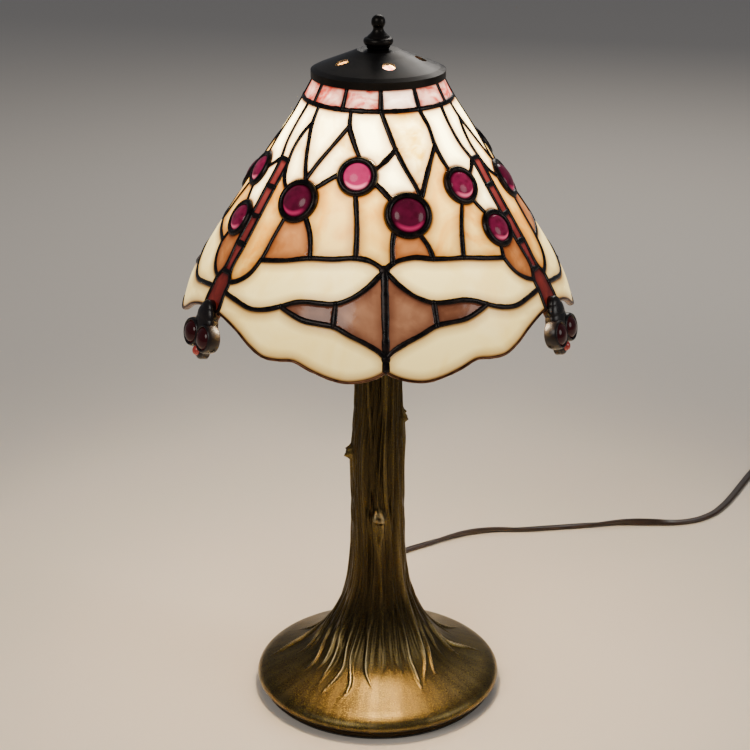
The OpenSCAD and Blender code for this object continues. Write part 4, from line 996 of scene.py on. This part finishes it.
def dome(radius, height, foot):
    """A cabochon: a flat back foot mm below the bed, a straight side and a round top, as rings
    from the back's middle to the top's."""
    reach = np.concatenate([[0.001, radius * 0.5, radius - 0.3, radius], radius * np.cos(dome_lift * math.pi / 2)])
    up = np.concatenate([[-foot, -foot, -foot, -foot + 0.3], height * np.sin(dome_lift * math.pi / 2)])
    reach[-1] = 0.001
    points = np.stack([np.outer(reach, np.cos(dome_turn)), np.outer(reach, np.sin(dome_turn)),
                       np.repeat(up[:, None], len(dome_turn), axis=1)], axis=-1)
    edge = np.repeat((reach / radius)[:, None], len(dome_turn), axis=1)
    return points, edge


def collar(inner, outer, low, high):
    """A ring of solder: an egg-shaped section between two radii, turned about the jewel."""
    bend = np.linspace(0, 2 * math.pi, 16, endpoint=False)
    middle_r, half = (inner + outer) / 2, (outer - inner) / 2
    reach = middle_r + half * np.cos(bend)
    up = (low + high) / 2 + (high - low) / 2 * np.sin(bend)
    return np.stack([np.outer(np.cos(dome_turn), reach), np.outer(np.sin(dome_turn), reach),
                     np.repeat(up[None], len(dome_turn), axis=0)], axis=-1)


def ring_faces(turns, sides, start):
    """Quads of a closed ring of sections."""
    i, j = np.meshgrid(np.arange(turns), np.arange(sides), indexing="ij")
    n, m = (i + 1) % turns, (j + 1) % sides
    quads = np.stack([i * sides + j, n * sides + j, n * sides + m, i * sides + m], axis=-1)
    return (start + quads.reshape(-1, 4)).tolist()


# How brightly each jewel's painted glow is lit, from 0 to 1
jewel_light = {"J1": 0.16, "J2": 1.0, "J3": 0.14, "J4": 0.5, "J5": 0.34}
for piece_name, names, cad_node in (("large_cabochons", ("J1", "J3"), "large_jewels"),
                                    ("small_cabochons", ("J2", "J4", "J5"), "small_jewels")):
    points, faces, edges, lights, lows = [], [], [], [], []
    for name in names:
        radius = jewel_places[name][2]
        body, edge = dome(radius, radius * 0.42, 2.0)
        # The lower edge of each jewel, which gets the painted crescent of light
        down = smoothstep(edge, 0.45, 0.9) * np.clip(-body[..., 1] / radius, 0, 1)
        for k in range(3):
            faces += tube_faces(*body.shape[:2], sum(len(p) for p in points))
            points.append(third(set_in_glass(jewel_places[name], body).reshape(-1, 3), k))
            edges.append(edge.ravel())
            lights.append(np.full(edge.size, jewel_light[name]))
            lows.append(down.ravel())
    new_piece(piece_name, np.vstack(points), faces, jewel_glass, "shade", "purple_jewel", (cad_node,),
              {"jewel_edge": np.concatenate(edges), "jewel_light": np.concatenate(lights),
               "jewel_low": np.concatenate(lows)})
points, faces = [], []
for name, place_of in jewel_places.items():
    body = collar(place_of[2] - 0.5, place_of[2] + rim_width + 1.1, -glass_thick - 1.0, 2.0)
    for k in range(3):
        faces += ring_faces(len(dome_turn), 16, sum(len(p) for p in points))
        points.append(third(set_in_glass(place_of, body).reshape(-1, 3), k))
new_piece("jewel_settings", np.vstack(points), faces, solder_black, "shade", "solder", ("jewel_collars",))

# The dragonflies' heads: a lump of solder below the hem holds two round dark red eyes and a bead.
head_height, head_out, eye_apart, eye_radius, bead_down = 278.5, 1.8, 7.8, 6.9, -9.6
head_place = (tail_azimuth, head_height)
# The eyes and the mouth bead carry a faint painted glow: an emission colour for light shining through them.
dark_eye = plain_material("dark_eye", (0.035, 0.004, 0.006), 0.1, Emission_Strength=1.0, Specular_IOR_Level=0.3,
                          Emission_Color=(0.018, 0.0010, 0.0012, 1), Coat_Weight=0.1, Coat_Roughness=0.05)
head_black = varied(plain_material("head_black", (0.010, 0.007, 0.006), 0.3, Specular_IOR_Level=0.45),
                    (0.006, 0.004, 0.0035), (0.016, 0.009, 0.007), 90, rough=(0.2, 0.4), bump=0.0002)
varied(dark_eye, (0.004, 0.0006, 0.0008), (0.018, 0.0018, 0.0024), 160, rough=(0.08, 0.16))
bead_red = plain_material("bead_red", (0.30, 0.03, 0.02), 0.07, Emission_Strength=1.0,
                          Emission_Color=(0.10, 0.008, 0.006, 1), Coat_Weight=0.5)
varied(bead_red, (0.22, 0.02, 0.015), (0.42, 0.06, 0.04), 200, rough=(0.05, 0.15))
solder_lump, lump_faces, eyes, eye_faces, beads, bead_quads = [], [], [], [], [], []
for k in range(3):
    for side in (-1, 1):
        cup = collar(eye_radius - 0.5, eye_radius + 2.3, -4.2, 4.6) + (side * eye_apart, 0, head_out)
        lump_faces += ring_faces(len(dome_turn), 16, sum(len(p) for p in solder_lump))
        solder_lump.append(third(set_in_glass(head_place, cup).reshape(-1, 3), k))
        back, _ = dome(eye_radius + 1.2, 2.2, 4.0)
        lump_faces += tube_faces(*back.shape[:2], sum(len(p) for p in solder_lump))
        solder_lump.append(third(set_in_glass(head_place, back + (side * eye_apart, 0, head_out)).reshape(-1, 3), k))
        eye, _ = dome(eye_radius, 4.0, 2.0)
        eye_faces += tube_faces(*eye.shape[:2], sum(len(p) for p in eyes))
        eyes.append(third(set_in_glass(head_place, eye + (side * eye_apart, 0, head_out + 2.6)).reshape(-1, 3), k))
    for y, radius, height in ((16, 6.4, 3.0), (11.5, 9.0, 4.0), (7, 10.0, 4.4), (1, 7.4, 5.0), (-4.5, 7.0, 3.8),
                              (bead_down, 5.4, 2.8)):
        lump, _ = dome(radius, height, 4.0)
        lump_faces += tube_faces(*lump.shape[:2], sum(len(p) for p in solder_lump))
        solder_lump.append(third(set_in_glass(head_place, lump + (0, y, 0.6 * head_out)).reshape(-1, 3), k))
    mouth, _ = dome(3.0, 2.4, 1.0)
    bead_quads += tube_faces(*mouth.shape[:2], sum(len(p) for p in beads))
    beads.append(third(set_in_glass(head_place, mouth + (0, bead_down, head_out + 2.2)).reshape(-1, 3), k))
new_piece("head_lumps", np.vstack(solder_lump), lump_faces, head_black, "shade", "solder", ("head_solder",))
new_piece("round_eyes", np.vstack(eyes), eye_faces, dark_eye, "shade", "dark_red_glass", ("eye_jewels",))
new_piece("mouth_drops", np.vstack(beads), bead_quads, bead_red, "shade", "red_glass", ("mouth_beads",))

# The cap over the shade: a spun bronze dish with five vent holes, which the finial holds down.
# The finial is turned from bar: a flange, a neck and a ball.
cap_data = nodes["heat_cap"].data
cap_data.materials.clear()
cap_data.materials.append(dark_bronze)
finial_profile = through(np.array([
    [0.02, 440.4], [5.6, 440.4], [6.5, 440.6], [7.2, 441.6], [7.5, 442.4], [8.6, 443.4], [9.1, 445], [8.7, 446.6],
    [7.0, 447.6], [6.3, 448.4], [5.2, 449.4], [3.7, 451.2], [3.2, 452.4], [3.3, 453.4], [4.1, 455], [4.3, 456.8],
    [3.8, 458.9], [2.4, 460.4], [0.9, 461], [0.02, 461.05]]) / 1000, 0.0004)
new_piece("turned_finial", *turned_piece(finial_profile, 64), dark_bronze, "finial", "dark_bronze", ("finial",))
